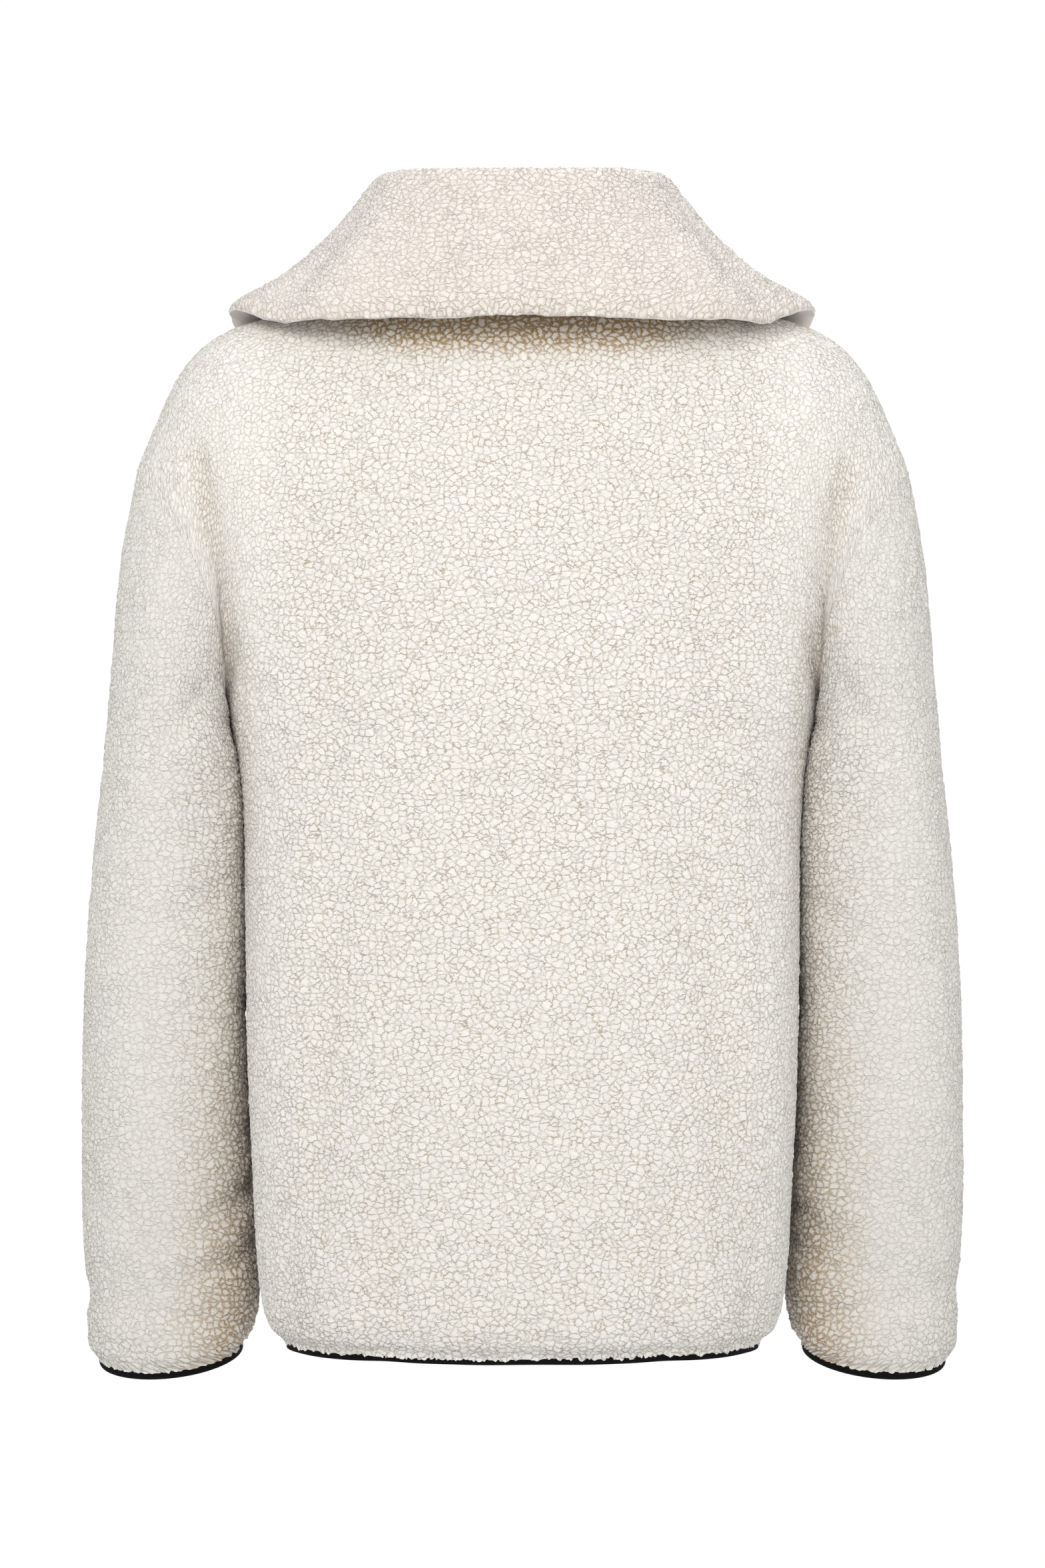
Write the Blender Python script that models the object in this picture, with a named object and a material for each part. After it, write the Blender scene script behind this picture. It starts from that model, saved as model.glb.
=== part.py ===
"""Teddy jacket: fleece panels, sleeves, a big turned-down collar, black bindings and a front zip.

Frame: metres, +Z up, the wearer faces -Y, the wearer's left is +X.
The origin is the middle of the neck's base, where the wearer's shoulders carry the jacket.
Sizes in the tables are millimetres, named by the column lists above them.
"""

import math

import bmesh
import bpy
import numpy as np
from mathutils import Matrix

MM = 0.001

# Cloth
FLEECE = 5.0
COLLAR_FLEECE = 13.0
SEAM_GAP = 0.3
SLEEVE_HEAD_GAP = 0.36
COLLAR_SEAM_GAP = 0.75
BINDING_HEIGHT = 6.5
BINDING_THICK = 4.6
BINDING_BELLY = 0.4

# Body
SEAM_Y = -5.0
HEM_Z = -669.0
UNDERARM_Z = -262.0
BODY_COLUMNS = ("z", "half_width", "back_depth", "front_depth", "squareness")
BODY_SECTIONS = (
    (-669.0, 152.0, 117.0, 110.0, 2.30),
    (-664.0, 159.5, 125.0, 118.0, 2.30),
    (-655.0, 164.5, 131.0, 124.0, 2.32),
    (-640.0, 168.0, 134.0, 128.0, 2.34),
    (-610.0, 171.0, 134.5, 129.5, 2.36),
    (-560.0, 173.5, 132.0, 129.0, 2.38),
    (-500.0, 176.5, 128.0, 127.5, 2.38),
    (-420.0, 177.4, 123.0, 126.0, 2.36),
    (-340.0, 178.0, 122.0, 128.0, 2.34),
    (-310.0, 180.5, 123.5, 129.5, 2.32),
    (-285.0, 184.9, 125.5, 130.5, 2.30),
    (-262.0, 190.0, 127.0, 131.0, 2.30),
)

# Neck and shoulders
ZIP_GAP_HALF = 6.0
NECK_HALF_WIDTH = 92.0
NECK_SHARE = 0.36
NECK_BACK_DEPTH = 71.0
NECK_BACK_Z = -2.0
NECK_SIDE_Z = 14.0
NECK_FRONT_DEPTH = 92.0
NECK_FRONT_Z = -95.0
BACK_FULLNESS = (1.9, 2.5)
FRONT_FULLNESS = (1.25, 1.9)
FULLNESS_REACH = 1.6 * NECK_SHARE
# The way out at the neck seam: level and up
NECK_LEAN = (0.85, 0.53)
SHOULDER_COLUMNS = ("x", "z")
SHOULDER_LINE = (
    (92.0, 14.0),
    (130.0, -1.0),
    (165.0, -14.0),
    (189.5, -22.5),
    (206.0, -33.0),
    (219.5, -48.0),
    (229.0, -66.0),
    (238.0, -87.0),
    (248.0, -112.0),
)

# Armhole: an oval that leans out at the shoulder and bows in at the back and the front
ARMHOLE_TOP_X = 248.0
ARMHOLE_TOP_Z = -112.0
ARMHOLE_LOW_X = 190.0
ARMHOLE_DEPTH_HALF = 80.0
ARMHOLE_BOW = 19.0
ARMHOLE_PULL = 2.6
# The way out at the shoulder point: sideways, the least sideways, and up
ARMHOLE_LEAN = (0.88, 0.02, 0.47)

# Sleeve rings, from the armhole down to the edge that the cuff's binding takes
SLEEVE_COLUMNS = ("outer_x", "inner_x", "outer_z", "inner_z",
                  "centre_y", "half_depth", "back_drop", "bow")
SLEEVE_RINGS = (
    (248.0, 190.0, -112.0, -262.0, -5.0, 80.0, 0.0, 19.0),
    (259.0, 190.0, -175.0, -279.0, -7.0, 80.5, 0.0, 11.0),
    (264.5, 183.6, -236.0, -297.0, -12.0, 79.0, 0.0, 4.0),
    (269.5, 180.2, -292.0, -322.0, -17.0, 76.0, 0.0, 0.0),
    (276.5, 178.3, -352.0, -358.0, -24.0, 72.0, 1.0, 0.0),
    (283.5, 178.0, -440.0, -440.0, -34.0, 67.0, 3.0, 0.0),
    (286.0, 175.5, -530.0, -530.0, -43.0, 63.0, 6.0, 0.0),
    (286.0, 172.0, -602.0, -599.0, -51.0, 60.0, 9.0, 0.0),
    (284.0, 172.0, -646.0, -640.0, -56.0, 58.5, 11.0, 0.0),
    (283.5, 174.0, -667.0, -660.0, -58.0, 57.5, 11.0, 0.0),
    (282.0, 177.5, -678.0, -670.0, -59.0, 54.5, 11.0, 0.0),
    (276.5, 182.5, -684.0, -676.0, -59.5, 48.0, 11.0, 0.0),
)

# Collar: a bent band. Each row is a direction round the neck from the centre back, in degrees.
# The corner is where the stand and the fall would meet if the roll between them were sharp.
# Outs are measured level from the neck's centre, and the turn brings the edge round to the side.
COLLAR_COLUMNS = ("angle", "corner_out", "corner_z", "fall_out", "fall_z",
                  "edge_out", "edge_z", "turn")
COLLAR_LINES = (
    (0.0, 86.0, 82.0, 115.0, 26.0, 127.0, -20.0, 0.0),
    (30.0, 85.0, 83.0, 119.0, 26.0, 137.0, -21.0, 0.0),
    (60.0, 82.0, 84.5, 130.0, 18.0, 165.0, -20.0, 0.0),
    (90.0, 80.0, 84.0, 139.0, 3.0, 186.0, -9.0, 0.0),
    (115.0, 87.0, 67.0, 140.0, -6.0, 181.0, -40.0, -4.0),
    (140.0, 98.0, 26.0, 140.0, -53.0, 174.0, -102.0, -13.0),
    (160.0, 106.0, -18.0, 139.0, -89.0, 166.0, -151.0, -24.0),
    (180.0, 113.0, -56.0, 138.0, -116.0, 163.0, -188.0, -38.0),
)
# Soft waves down the fall, either side of the back: direction, half spread, and height.
COLLAR_WAVE_COLUMNS = ("angle", "spread", "height")
COLLAR_WAVES = (
    (66.0, 5.5, -3.2),
    (53.0, 7.0, 1.6),
    (20.0, 9.0, -0.9),
    (104.0, 8.0, -1.8),
    (128.0, 9.0, 1.5),
)
ROLL_REACH = 25.0
ROLL_HANDLE = 0.5
ROLL_SQUEEZE = 0.45
STAND_SHARE = 0.29
ROLL_SHARE = 0.49
EDGE_SHARE = 0.93
EDGE_THIN = 0.72
REACH_LIMIT = 0.55
# From this direction on, the two ends part by the zip's gap
PARTING_START = 120.0

# Soft folds: troughs are negative. The back's and the fronts' stations are x at the top and the foot.
# They fade out towards the side seams.
FOLD_LIMIT_X = 185.0
FOLD_LIMIT_POWER = 8
FOLD_COLUMNS = ("x_top", "x_foot", "z_top", "z_foot", "width", "depth")
BACK_FOLDS = (
    (118.0, 130.0, -330.0, -610.0, 17.0, -5.0),
    (88.0, 86.0, -520.0, -668.0, 15.0, -3.6),
    (-120.0, -131.0, -350.0, -600.0, 17.0, -5.0),
    (-87.0, -89.0, -540.0, -668.0, 15.0, -3.6),
    (150.0, 146.0, -560.0, -668.0, 12.0, -3.4),
    (-149.0, -145.0, -550.0, -668.0, 12.0, -3.4),
    (128.0, 122.0, -110.0, -330.0, 16.0, -2.6),
    (-128.0, -122.0, -120.0, -320.0, 16.0, -2.6),
    (30.0, 24.0, -500.0, -668.0, 20.0, 1.8),
    (-34.0, -40.0, -560.0, -668.0, 18.0, 1.6),
)
FRONT_FOLDS = (
    (110.0, 122.0, -310.0, -590.0, 18.0, -5.0),
    (62.0, 56.0, -470.0, -668.0, 16.0, -3.8),
    (-114.0, -120.0, -340.0, -610.0, 17.0, -5.0),
    (-58.0, -63.0, -500.0, -668.0, 16.0, -3.6),
    (146.0, 140.0, -540.0, -668.0, 13.0, -3.2),
    (-147.0, -143.0, -560.0, -668.0, 13.0, -3.2),
)
# On the sleeves a fold runs part of the way round, and it leans as it goes.
SLEEVE_FOLD_COLUMNS = ("angle", "spread", "z", "lean", "width", "depth")
SLEEVE_FOLDS = (
    (150.0, 60.0, -585.0, 26.0, 11.0, -5.0),
    (128.0, 55.0, -622.0, 18.0, 10.0, -4.2),
    (120.0, 62.0, -655.0, -9.0, 8.0, -3.6),
    (215.0, 58.0, -560.0, -20.0, 12.0, -4.4),
    (240.0, 62.0, -625.0, -14.0, 10.0, -4.2),
    (205.0, 50.0, -470.0, -24.0, 14.0, -4.0),
    (120.0, 46.0, -395.0, 22.0, 14.0, -2.6),
    (20.0, 50.0, -640.0, 8.0, 10.0, -2.0),
    (100.0, 30.0, -265.0, 26.0, 15.0, -5.0),
    (262.0, 32.0, -270.0, -24.0, 15.0, -5.0),
)

# Grid counts
NECK_CELLS = 9
SHOULDER_CELLS = 7
BODY_CELLS = 17
ARMHOLE_CELLS = 12
SLEEVE_CELLS = 22
STAND_CELLS = 3
ROLL_CELLS = 4
FALL_CELLS = 6

# Zip
TAPE_THICK = 1.0
TAPE_WIDTH = 13.0
CHAIN_HALF = 2.6
CHAIN_THICK = 2.2
CHAIN_FIRST_ROW = 2
SLIDER_Z = -112.0
SLIDER_SIZE = (9.0, 4.4, 12.0)
PULL_SIZE = (6.4, 1.4, 26.0)
PULL_EYE = (6.0, 2.8, 3.2)
PULL_WINDOW = (3.4, 4.0, 3.8)
PULL_BAR_SIDES = 16
BRIDGE_SIZE = (2.2, 5.8, 5.8)
BOX_SIZE = (9.0, 4.0, 8.0)
CHANNEL_ROOM = 0.4
EYE_SINK = 0.1
SLIDER_BEVEL = 0.6
PULL_BEVEL = 0.25
BOX_BEVEL = 0.8

# Colours: linear red, green, blue, then roughness and metallic
FLEECE_LOOK = ((0.82, 0.78, 0.72), 1.0, 0.0)
BINDING_LOOK = ((0.006, 0.006, 0.007), 0.75, 0.0)
TAPE_LOOK = ((0.010, 0.010, 0.011), 0.8, 0.0)
METAL_LOOK = ((0.10, 0.10, 0.11), 0.35, 1.0)


def table(names, rows):
    """The columns of a table of rows, as arrays by their names."""
    return dict(zip(names, np.array(rows).T))


def through(at, knots, values):
    """A cubic curve through the knots. At each knot its slope is that of the knots on either side."""
    slopes = np.gradient(values, knots)
    at = np.clip(at, knots[0], knots[-1])
    low = np.clip(np.searchsorted(knots, at, side="right") - 1, 0, len(knots) - 2)
    step = knots[low + 1] - knots[low]
    t = (at - knots[low]) / step
    start, end = values[low], values[low + 1]
    rise = slopes[low] * step
    fall = slopes[low + 1] * step
    return (start * (1 + 2 * t) * (1 - t) ** 2 + rise * t * (1 - t) ** 2
            + end * t * t * (3 - 2 * t) + fall * t * t * (t - 1))


def stack(x, y, z):
    """Three arrays as one array of points."""
    return np.stack(np.broadcast_arrays(x, y, z), axis=-1)


def unit(vectors):
    """Each vector at length one."""
    return vectors / np.maximum(np.linalg.norm(vectors, axis=-1, keepdims=True), 1e-9)


def mix(share, low, high):
    """From low at share 0 to high at share 1."""
    return low + (high - low) * share


def ease(t):
    """A soft step from 0 to 1."""
    t = np.clip(t, 0.0, 1.0)
    return t * t * (3 - 2 * t)


def bent(start, first, second, end, t):
    """A curve from start to end that leaves towards the first handle and arrives from the second."""
    t = np.clip(t, 0.0, 1.0)[..., None]
    back = 1 - t
    return start * back ** 3 + 3 * first * back ** 2 * t + 3 * second * back * t * t + end * t ** 3


# Body panels

def ring_point(face, across, z):
    """The torso's section at a height: a quarter of a rounded oval, from the centre to the side seam.
    x = gap + (half width - gap) * sin^(2/n), y = seam + depth * cos^(2/n), with n the squareness."""
    body = table(BODY_COLUMNS, BODY_SECTIONS)
    width = through(z, body["z"], body["half_width"])
    depth = through(z, body["z"], body["back_depth"] if face > 0 else body["front_depth"])
    power = 2.0 / through(z, body["z"], body["squareness"])
    gap = 0.0 if face > 0 else ZIP_GAP_HALF
    turn = across * math.pi / 2
    x = gap + (width - gap) * np.sin(turn) ** power
    y = SEAM_Y + face * depth * np.maximum(np.cos(turn), 0.0) ** power
    return stack(x, y, z)


def neck_point(face, turn):
    """The neck seam, a quarter turn from the centre to the side. The front dips by 1 - sin(turn)."""
    gap = 0.0 if face > 0 else ZIP_GAP_HALF
    depth = NECK_BACK_DEPTH if face > 0 else NECK_FRONT_DEPTH
    low = NECK_BACK_Z if face > 0 else NECK_FRONT_Z
    x = gap + (NECK_HALF_WIDTH - gap) * np.sin(turn)
    y = SEAM_Y + face * depth * np.cos(turn)
    dip = (1 - np.sin(turn)) if face < 0 else (1 - np.sin(turn)) ** 0.8
    return stack(x, y, NECK_SIDE_Z + (low - NECK_SIDE_Z) * dip)


def top_point(face, across):
    """A panel's top edge: the neck seam, then the shoulder seam out to the dropped shoulder point."""
    neck = neck_point(face, np.clip(across / NECK_SHARE, 0, 1) * math.pi / 2)
    line = table(SHOULDER_COLUMNS, SHOULDER_LINE)
    reach = np.concatenate(([0.0], np.cumsum(np.hypot(np.diff(line["x"]), np.diff(line["z"])))))
    out = np.clip((across - NECK_SHARE) / (1 - NECK_SHARE), 0, 1) * reach[-1]
    shoulder = stack(through(out, reach, line["x"]), SEAM_Y, through(out, reach, line["z"]))
    return np.where((across < NECK_SHARE)[..., None], neck, shoulder)


def armhole_point(angle):
    """The armhole seam. Angle 0 is the shoulder point, 90 degrees the back, 180 the underarm."""
    c, s = np.cos(angle), np.sin(angle)
    x = mix((1 + c) / 2, ARMHOLE_LOW_X, ARMHOLE_TOP_X) - ARMHOLE_BOW * s * s
    return stack(x, SEAM_Y + ARMHOLE_DEPTH_HALF * s, mix((1 + c) / 2, UNDERARM_Z, ARMHOLE_TOP_Z))


def yoke_point(face, across, rise):
    """Above the underarm: each column turns from upright to level like a quarter of a rounded oval,
    and the outer columns are drawn over to the armhole, by across to the power of the pull."""
    turn = rise * math.pi / 2
    full = BACK_FULLNESS if face > 0 else FRONT_FULLNESS

    def turned(column):
        power = 2.0 / mix(ease(column / FULLNESS_REACH), *full)
        low = ring_point(face, column, np.full_like(column, UNDERARM_Z))
        top = top_point(face, column)
        level = (np.maximum(np.cos(turn), 0.0) ** power)[..., None]
        upright = (np.sin(turn) ** power)[..., None]
        plan = top + (low - top) * level
        height = low + (top - low) * upright
        return np.concatenate((plan[..., :2], height[..., 2:]), axis=-1)

    hole = armhole_point(math.pi * (1 - rise))
    hole[..., 1] = SEAM_Y + face * (hole[..., 1] - SEAM_Y)
    pull = (across ** ARMHOLE_PULL)[..., None]
    return turned(across) + pull * (hole - turned(np.ones_like(across)))


def folds(rows, x, z):
    """Soft troughs and ridges down a panel: each is a bell across x, fading at its top and foot."""
    depth = np.zeros_like(x)
    for row in rows:
        fold = dict(zip(FOLD_COLUMNS, row))
        along = (fold["z_top"] - z) / (fold["z_top"] - fold["z_foot"])
        middle = mix(ease(along), fold["x_top"], fold["x_foot"])
        fade = ease(along * 3) * ease((1.08 - along) * 4)
        depth += fold["depth"] * fade * np.exp(-((x - middle) / fold["width"]) ** 2)
    return depth


def columns():
    """Where a quarter's columns lie, 0 at the centre and 1 at the side seam and armhole."""
    neck = np.linspace(0, NECK_SHARE, NECK_CELLS + 1)
    shoulder = np.linspace(NECK_SHARE, 1, SHOULDER_CELLS + 1)
    return np.concatenate((neck, shoulder[1:]))


def quarter(face):
    """A quarter of the body, rows from the hem up to the neck and shoulder, columns to the side."""
    low = np.linspace(0, 1, BODY_CELLS + 1) ** 1.5
    heights = HEM_Z + (UNDERARM_Z - HEM_Z) * low
    z, across = np.meshgrid(heights, columns(), indexing="ij")
    torso = ring_point(face, across, z)
    rise, across = np.meshgrid(np.linspace(0, 1, ARMHOLE_CELLS + 1)[1:], columns(), indexing="ij")
    return np.concatenate((torso, yoke_point(face, across, rise)), axis=0)


def surface_normals(grid, wrap=False):
    """Unit normals of a grid of points, from the slopes along its rows and columns."""
    up = np.gradient(grid, axis=0)
    if wrap:
        along = np.roll(grid, -1, axis=1) - np.roll(grid, 1, axis=1)
    else:
        along = np.gradient(grid, axis=1)
    return unit(np.cross(along, up))


def neck_normal(points):
    """The outward direction that the body's and the collar's edges share on the neck seam."""
    out = points - np.array((0.0, SEAM_Y, 0.0))
    out[..., 2] = 0.0
    level, up = NECK_LEAN
    return unit(unit(out) * level + np.array((0.0, 0.0, up)))


def armhole_normal(angle):
    """The outward direction that a panel's and a sleeve's edges share on the armhole seam."""
    c, s = np.cos(angle), np.sin(angle)
    high = np.maximum(c, 0)
    low = np.maximum(-c, 0)
    sideways, least, up = ARMHOLE_LEAN
    return unit(stack(sideways * high + least, s, up * high - low))


def quarter_normals(face, grid):
    """Outward normals of a quarter, made to agree with its neighbours on every seam."""
    normals = surface_normals(grid)
    if np.mean(normals[:BODY_CELLS, 0, 1]) * face < 0:
        normals = -normals
    normals[:, 0, 0] = 0.0
    normals[:BODY_CELLS + 1, -1, 1] = 0.0
    angle = math.pi * (1 - np.linspace(0, 1, ARMHOLE_CELLS + 1))
    hole = armhole_normal(angle)
    hole[:, 1] *= face
    normals[BODY_CELLS:, -1] = hole
    normals[-1, :NECK_CELLS + 1] = neck_normal(grid[-1, :NECK_CELLS + 1].copy())
    tangent = np.gradient(grid[-1, NECK_CELLS:], axis=0)
    normals[-1, NECK_CELLS + 1:-1] = stack(-tangent[:, 2], 0.0, tangent[:, 0])[1:-1]
    return unit(normals)


def draw_in(grid, edge, gap=SEAM_GAP / 2):
    """Moves an edge, by half a seam gap, towards the row or column beside it."""
    row, beside = {
        "first_row": ((0,), (1,)),
        "last_row": ((-1,), (-2,)),
        "first_column": ((slice(None), 0), (slice(None), 1)),
        "last_column": ((slice(None), -1), (slice(None), -2)),
    }[edge]
    grid[row] = grid[row] + unit(grid[beside] - grid[row]) * gap


def mirrored(grid):
    """The other side's grid, with its columns in the same sense."""
    return grid[:, ::-1] * np.array((-1.0, 1.0, 1.0))


def folded(grid, normals, rows):
    """A panel's outer and inner faces after its folds."""
    depth = folds(rows, grid[..., 0], grid[..., 2])
    depth *= 1 - np.clip(np.abs(grid[..., 0]) / FOLD_LIMIT_X, 0, 1) ** FOLD_LIMIT_POWER
    outer = grid + normals * depth[..., None]
    return outer, outer - normals * FLEECE


# Sleeves

def sleeve_point(angle, along):
    """A sleeve's ring: outer side at angle 0, back at 90 degrees, inner side at 180.
    Each ring is an oval that may lean sideways and drop at the back."""
    ring = sleeve_rings(along)
    c, s = np.cos(angle), np.sin(angle)
    x = mix((1 + c) / 2, ring["inner_x"], ring["outer_x"]) - ring["bow"] * s * s
    y = ring["centre_y"] + ring["half_depth"] * s
    z = mix((1 + c) / 2, ring["inner_z"], ring["outer_z"]) - ring["back_drop"] * s
    return stack(x, y, z)


def sleeve_rings(along):
    """Every column of the sleeve's table at a share of the way from the armhole to the cuff."""
    values = table(SLEEVE_COLUMNS, SLEEVE_RINGS)
    middle = (values["outer_z"] + values["inner_z"]) / 2
    knots = (middle[0] - middle) / (middle[0] - middle[-1])
    return {name: through(along, knots, column) for name, column in values.items()}


def sleeve_folds(side, angle, z):
    """Creases that run part of the way round a sleeve. The left one's lie a little off the right's."""
    depth = np.zeros_like(z)
    degrees = np.degrees(angle)
    for number, row in enumerate(SLEEVE_FOLDS):
        fold = dict(zip(SLEEVE_FOLD_COLUMNS, row))
        shift = 6.0 * math.sin(2.1 * number + 1.3 * side)
        away = ((degrees - fold["angle"] + 180.0) % 360.0 - 180.0) / fold["spread"]
        line = fold["z"] + shift + fold["lean"] * away
        depth += fold["depth"] * np.exp(-away ** 2 - ((z - line) / fold["width"]) ** 2)
    return depth


def sleeve(side):
    """A sleeve's outer and inner faces, from the armhole to the cuff, closed all round."""
    angles = np.linspace(0, 2 * math.pi, 2 * ARMHOLE_CELLS + 1)[:-1]
    shares = 1 - (1 - np.linspace(0, 1, SLEEVE_CELLS + 1)) ** 1.4
    along, angle = np.meshgrid(shares, angles, indexing="ij")
    grid = sleeve_point(angle, along)
    normals = surface_normals(grid, wrap=True)
    if np.mean(normals[:, 0, 0]) < 0:
        normals = -normals
    normals[0] = armhole_normal(angles)
    depth = sleeve_folds(side, angle, grid[..., 2]) * ease(along * 6) * ease((1 - along) * 12)
    outer = grid + normals * depth[..., None]
    inner = outer - normals * FLEECE
    draw_in(outer, "first_row", SLEEVE_HEAD_GAP)
    draw_in(inner, "first_row", SLEEVE_HEAD_GAP)
    flip = np.array((side, 1.0, 1.0))
    return outer * flip, inner * flip


# Collar

def collar_middle(turn, share):
    """The collar's middle surface. Turn is the direction round the neck, 0 at the centre back.
    The stand is straight, and the roll and the fall are curves that follow on from it."""
    lines = table(COLLAR_COLUMNS, COLLAR_LINES)
    degrees = np.degrees(np.abs(turn))
    sign = np.sign(turn)
    line = {name: through(degrees, lines["angle"], column) for name, column in lines.items()}
    gap = ZIP_GAP_HALF * ease((degrees - PARTING_START) / (180.0 - PARTING_START))

    def at(out, z, swing):
        bearing = np.radians(degrees + swing)
        return stack(sign * (out * np.sin(bearing) + gap), SEAM_Y + out * np.cos(bearing), z)

    back = neck_point(1, np.minimum(np.abs(turn), math.pi / 2))
    front = neck_point(-1, np.clip(math.pi - np.abs(turn), 0, math.pi / 2))
    seam = np.where((degrees <= 90.0)[..., None], back, front)
    seam = seam - neck_normal(seam.copy()) * FLEECE / 2
    seam = seam * stack(np.where(sign == 0, 1.0, sign), 1.0, 1.0)
    corner = at(line["corner_out"], line["corner_z"], 0.0)
    fall = at(line["fall_out"], line["fall_z"], line["turn"] * 0.5)
    edge = at(line["edge_out"], line["edge_z"], line["turn"])
    reach = np.minimum(ROLL_REACH, REACH_LIMIT * np.linalg.norm(corner - seam, axis=-1))[..., None]
    roll_start = corner + unit(seam - corner) * reach
    roll_end = corner + unit(fall - corner) * ROLL_REACH

    stand = mix(np.clip(share / STAND_SHARE, 0, 1)[..., None], seam, roll_start)
    roll = bent(roll_start, mix(ROLL_HANDLE, roll_start, corner), mix(ROLL_HANDLE, roll_end, corner),
                roll_end, (share - STAND_SHARE) / (ROLL_SHARE - STAND_SHARE))
    hang = bent(roll_end, mix(2 / 3, roll_end, fall), mix(2 / 3, edge, fall), edge,
                (share - ROLL_SHARE) / (1 - ROLL_SHARE))
    low = (share < STAND_SHARE)[..., None]
    high = (share > ROLL_SHARE)[..., None]
    return np.where(low, stand, np.where(high, hang, roll))


def collar():
    """The collar's two faces: the one that shows, and the one that lies towards the body."""
    quarter_turns = np.linspace(0, 1, NECK_CELLS + 1) * math.pi / 2
    half = np.concatenate((quarter_turns, math.pi - quarter_turns[::-1][1:]))
    turns = np.concatenate((-half[::-1][:-1], half))
    shares = np.concatenate((
        np.linspace(0, STAND_SHARE, STAND_CELLS + 1)[:-1],
        np.linspace(STAND_SHARE, ROLL_SHARE, ROLL_CELLS + 1)[:-1],
        np.linspace(ROLL_SHARE, 1, FALL_CELLS + 1)))
    share, turn = np.meshgrid(shares, turns, indexing="ij")
    grid = collar_middle(turn, share)
    normals = surface_normals(grid)
    if normals[-1, len(turns) // 2, 1] < 0:
        normals = -normals
    normals[0] = -neck_normal(grid[0].copy())
    thick = mix(ease(share / STAND_SHARE), FLEECE, COLLAR_FLEECE)
    thick *= mix(ease((share - EDGE_SHARE) / (1 - EDGE_SHARE)), 1.0, EDGE_THIN)
    squeeze = mix(ease(1.4 - np.abs(share - (STAND_SHARE + ROLL_SHARE) / 2) / 0.15), 1.0, ROLL_SQUEEZE)
    wave = np.zeros_like(share)
    for row in COLLAR_WAVES:
        one = dict(zip(COLLAR_WAVE_COLUMNS, row))
        away = (np.abs(np.degrees(turn)) - one["angle"]) / one["spread"]
        wave += one["height"] * np.exp(-away ** 2)
    grid = grid + normals * (wave * ease((share - ROLL_SHARE + 0.06) / 0.3))[..., None]
    half_wall = normals * thick[..., None] / 2
    under_wall = half_wall * squeeze[..., None]
    shown, under = grid + half_wall, grid - under_wall
    for face in (shown, under):
        face[0] += unit(face[1] - face[0]) * COLLAR_SEAM_GAP
    return shown, under


# Meshes

def closed_mesh(name, points, faces):
    """A mesh in metres from points in millimetres, with its faces turned to point out."""
    mesh = bpy.data.meshes.new(name)
    mesh.from_pydata([tuple(point) for point in np.asarray(points) * MM], [], faces)
    shape = bmesh.new()
    shape.from_mesh(mesh)
    bmesh.ops.recalc_face_normals(shape, faces=shape.faces)
    if shape.calc_volume(signed=True) < 0:
        bmesh.ops.reverse_faces(shape, faces=shape.faces)
    shape.to_mesh(mesh)
    shape.free()
    mesh.shade_smooth()
    mesh.set_sharp_from_angle(angle=math.radians(50))
    return mesh


def wall(name, outer, inner, look, wrap=False):
    """A closed solid between two grids: both faces, and rims where the grids end."""
    rows, cols = outer.shape[:2]
    number = np.arange(rows * cols).reshape(rows, cols)
    if wrap:
        number = np.concatenate((number, number[:, :1]), axis=1)
    quads = np.stack((number[:-1, :-1], number[:-1, 1:], number[1:, 1:], number[1:, :-1]), axis=-1)
    quads = quads.reshape(-1, 4)
    other = rows * cols
    faces = [quads, quads[:, ::-1] + other]
    rims = [number[0], number[-1]]
    if not wrap:
        rims += [number[:, 0], number[:, -1]]
    for rim in rims:
        faces.append(np.stack((rim[:-1], rim[1:], rim[1:] + other, rim[:-1] + other), axis=-1))
    points = np.concatenate((outer.reshape(-1, 3), inner.reshape(-1, 3)))
    mesh = closed_mesh(name, points, np.concatenate(faces).tolist())
    return add_object(name, mesh, look)


def tube(name, sections, look, wrap=False):
    """A closed solid through rings of points: sections is stations by points round the section."""
    stations, round_count = sections.shape[:2]
    number = np.arange(stations * round_count).reshape(stations, round_count)
    number = np.concatenate((number, number[:, :1]), axis=1)
    if wrap:
        number = np.concatenate((number, number[:1]), axis=0)
    quads = np.stack((number[:-1, :-1], number[:-1, 1:], number[1:, 1:], number[1:, :-1]), axis=-1)
    faces = quads.reshape(-1, 4).tolist()
    if not wrap:
        faces += [number[0, :-1].tolist(), number[-1, :-1][::-1].tolist()]
    mesh = closed_mesh(name, sections.reshape(-1, 3), faces)
    return add_object(name, mesh, look)


def material(look_name, look):
    """A plain material of one colour."""
    made = bpy.data.materials.get(look_name)
    if made is None:
        made = bpy.data.materials.new(look_name)
        made.use_nodes = True
        shader = made.node_tree.nodes["Principled BSDF"]
        colour, roughness, metallic = look
        shader.inputs["Base Color"].default_value = (*colour, 1.0)
        shader.inputs["Roughness"].default_value = roughness
        shader.inputs["Metallic"].default_value = metallic
        made.diffuse_color = (*colour, 1.0)
    return made


def add_object(name, mesh, look):
    """An object in the jacket's collection, with its material."""
    mesh.materials.append(material(*look))
    made = bpy.data.objects.new(name, mesh)
    bpy.data.collections["teddy_jacket"].objects.link(made)
    return made


# Bindings

def binding_sections(outer, inner, down):
    """A folded strip under an edge: six points round each section, a little fuller at mid height."""
    across = inner - outer
    trim = (1 - BINDING_THICK / FLEECE) / 2
    top_out = outer + across * trim
    top_in = inner - across * trim
    gap = down * SEAM_GAP
    drop = down * BINDING_HEIGHT
    belly = unit(across) * BINDING_BELLY
    return np.stack((top_out + gap, top_out + drop / 2 - belly, top_out + drop - belly / 5,
                     top_in + drop + belly / 5, top_in + drop / 2 + belly, top_in + gap), axis=1)


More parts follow.
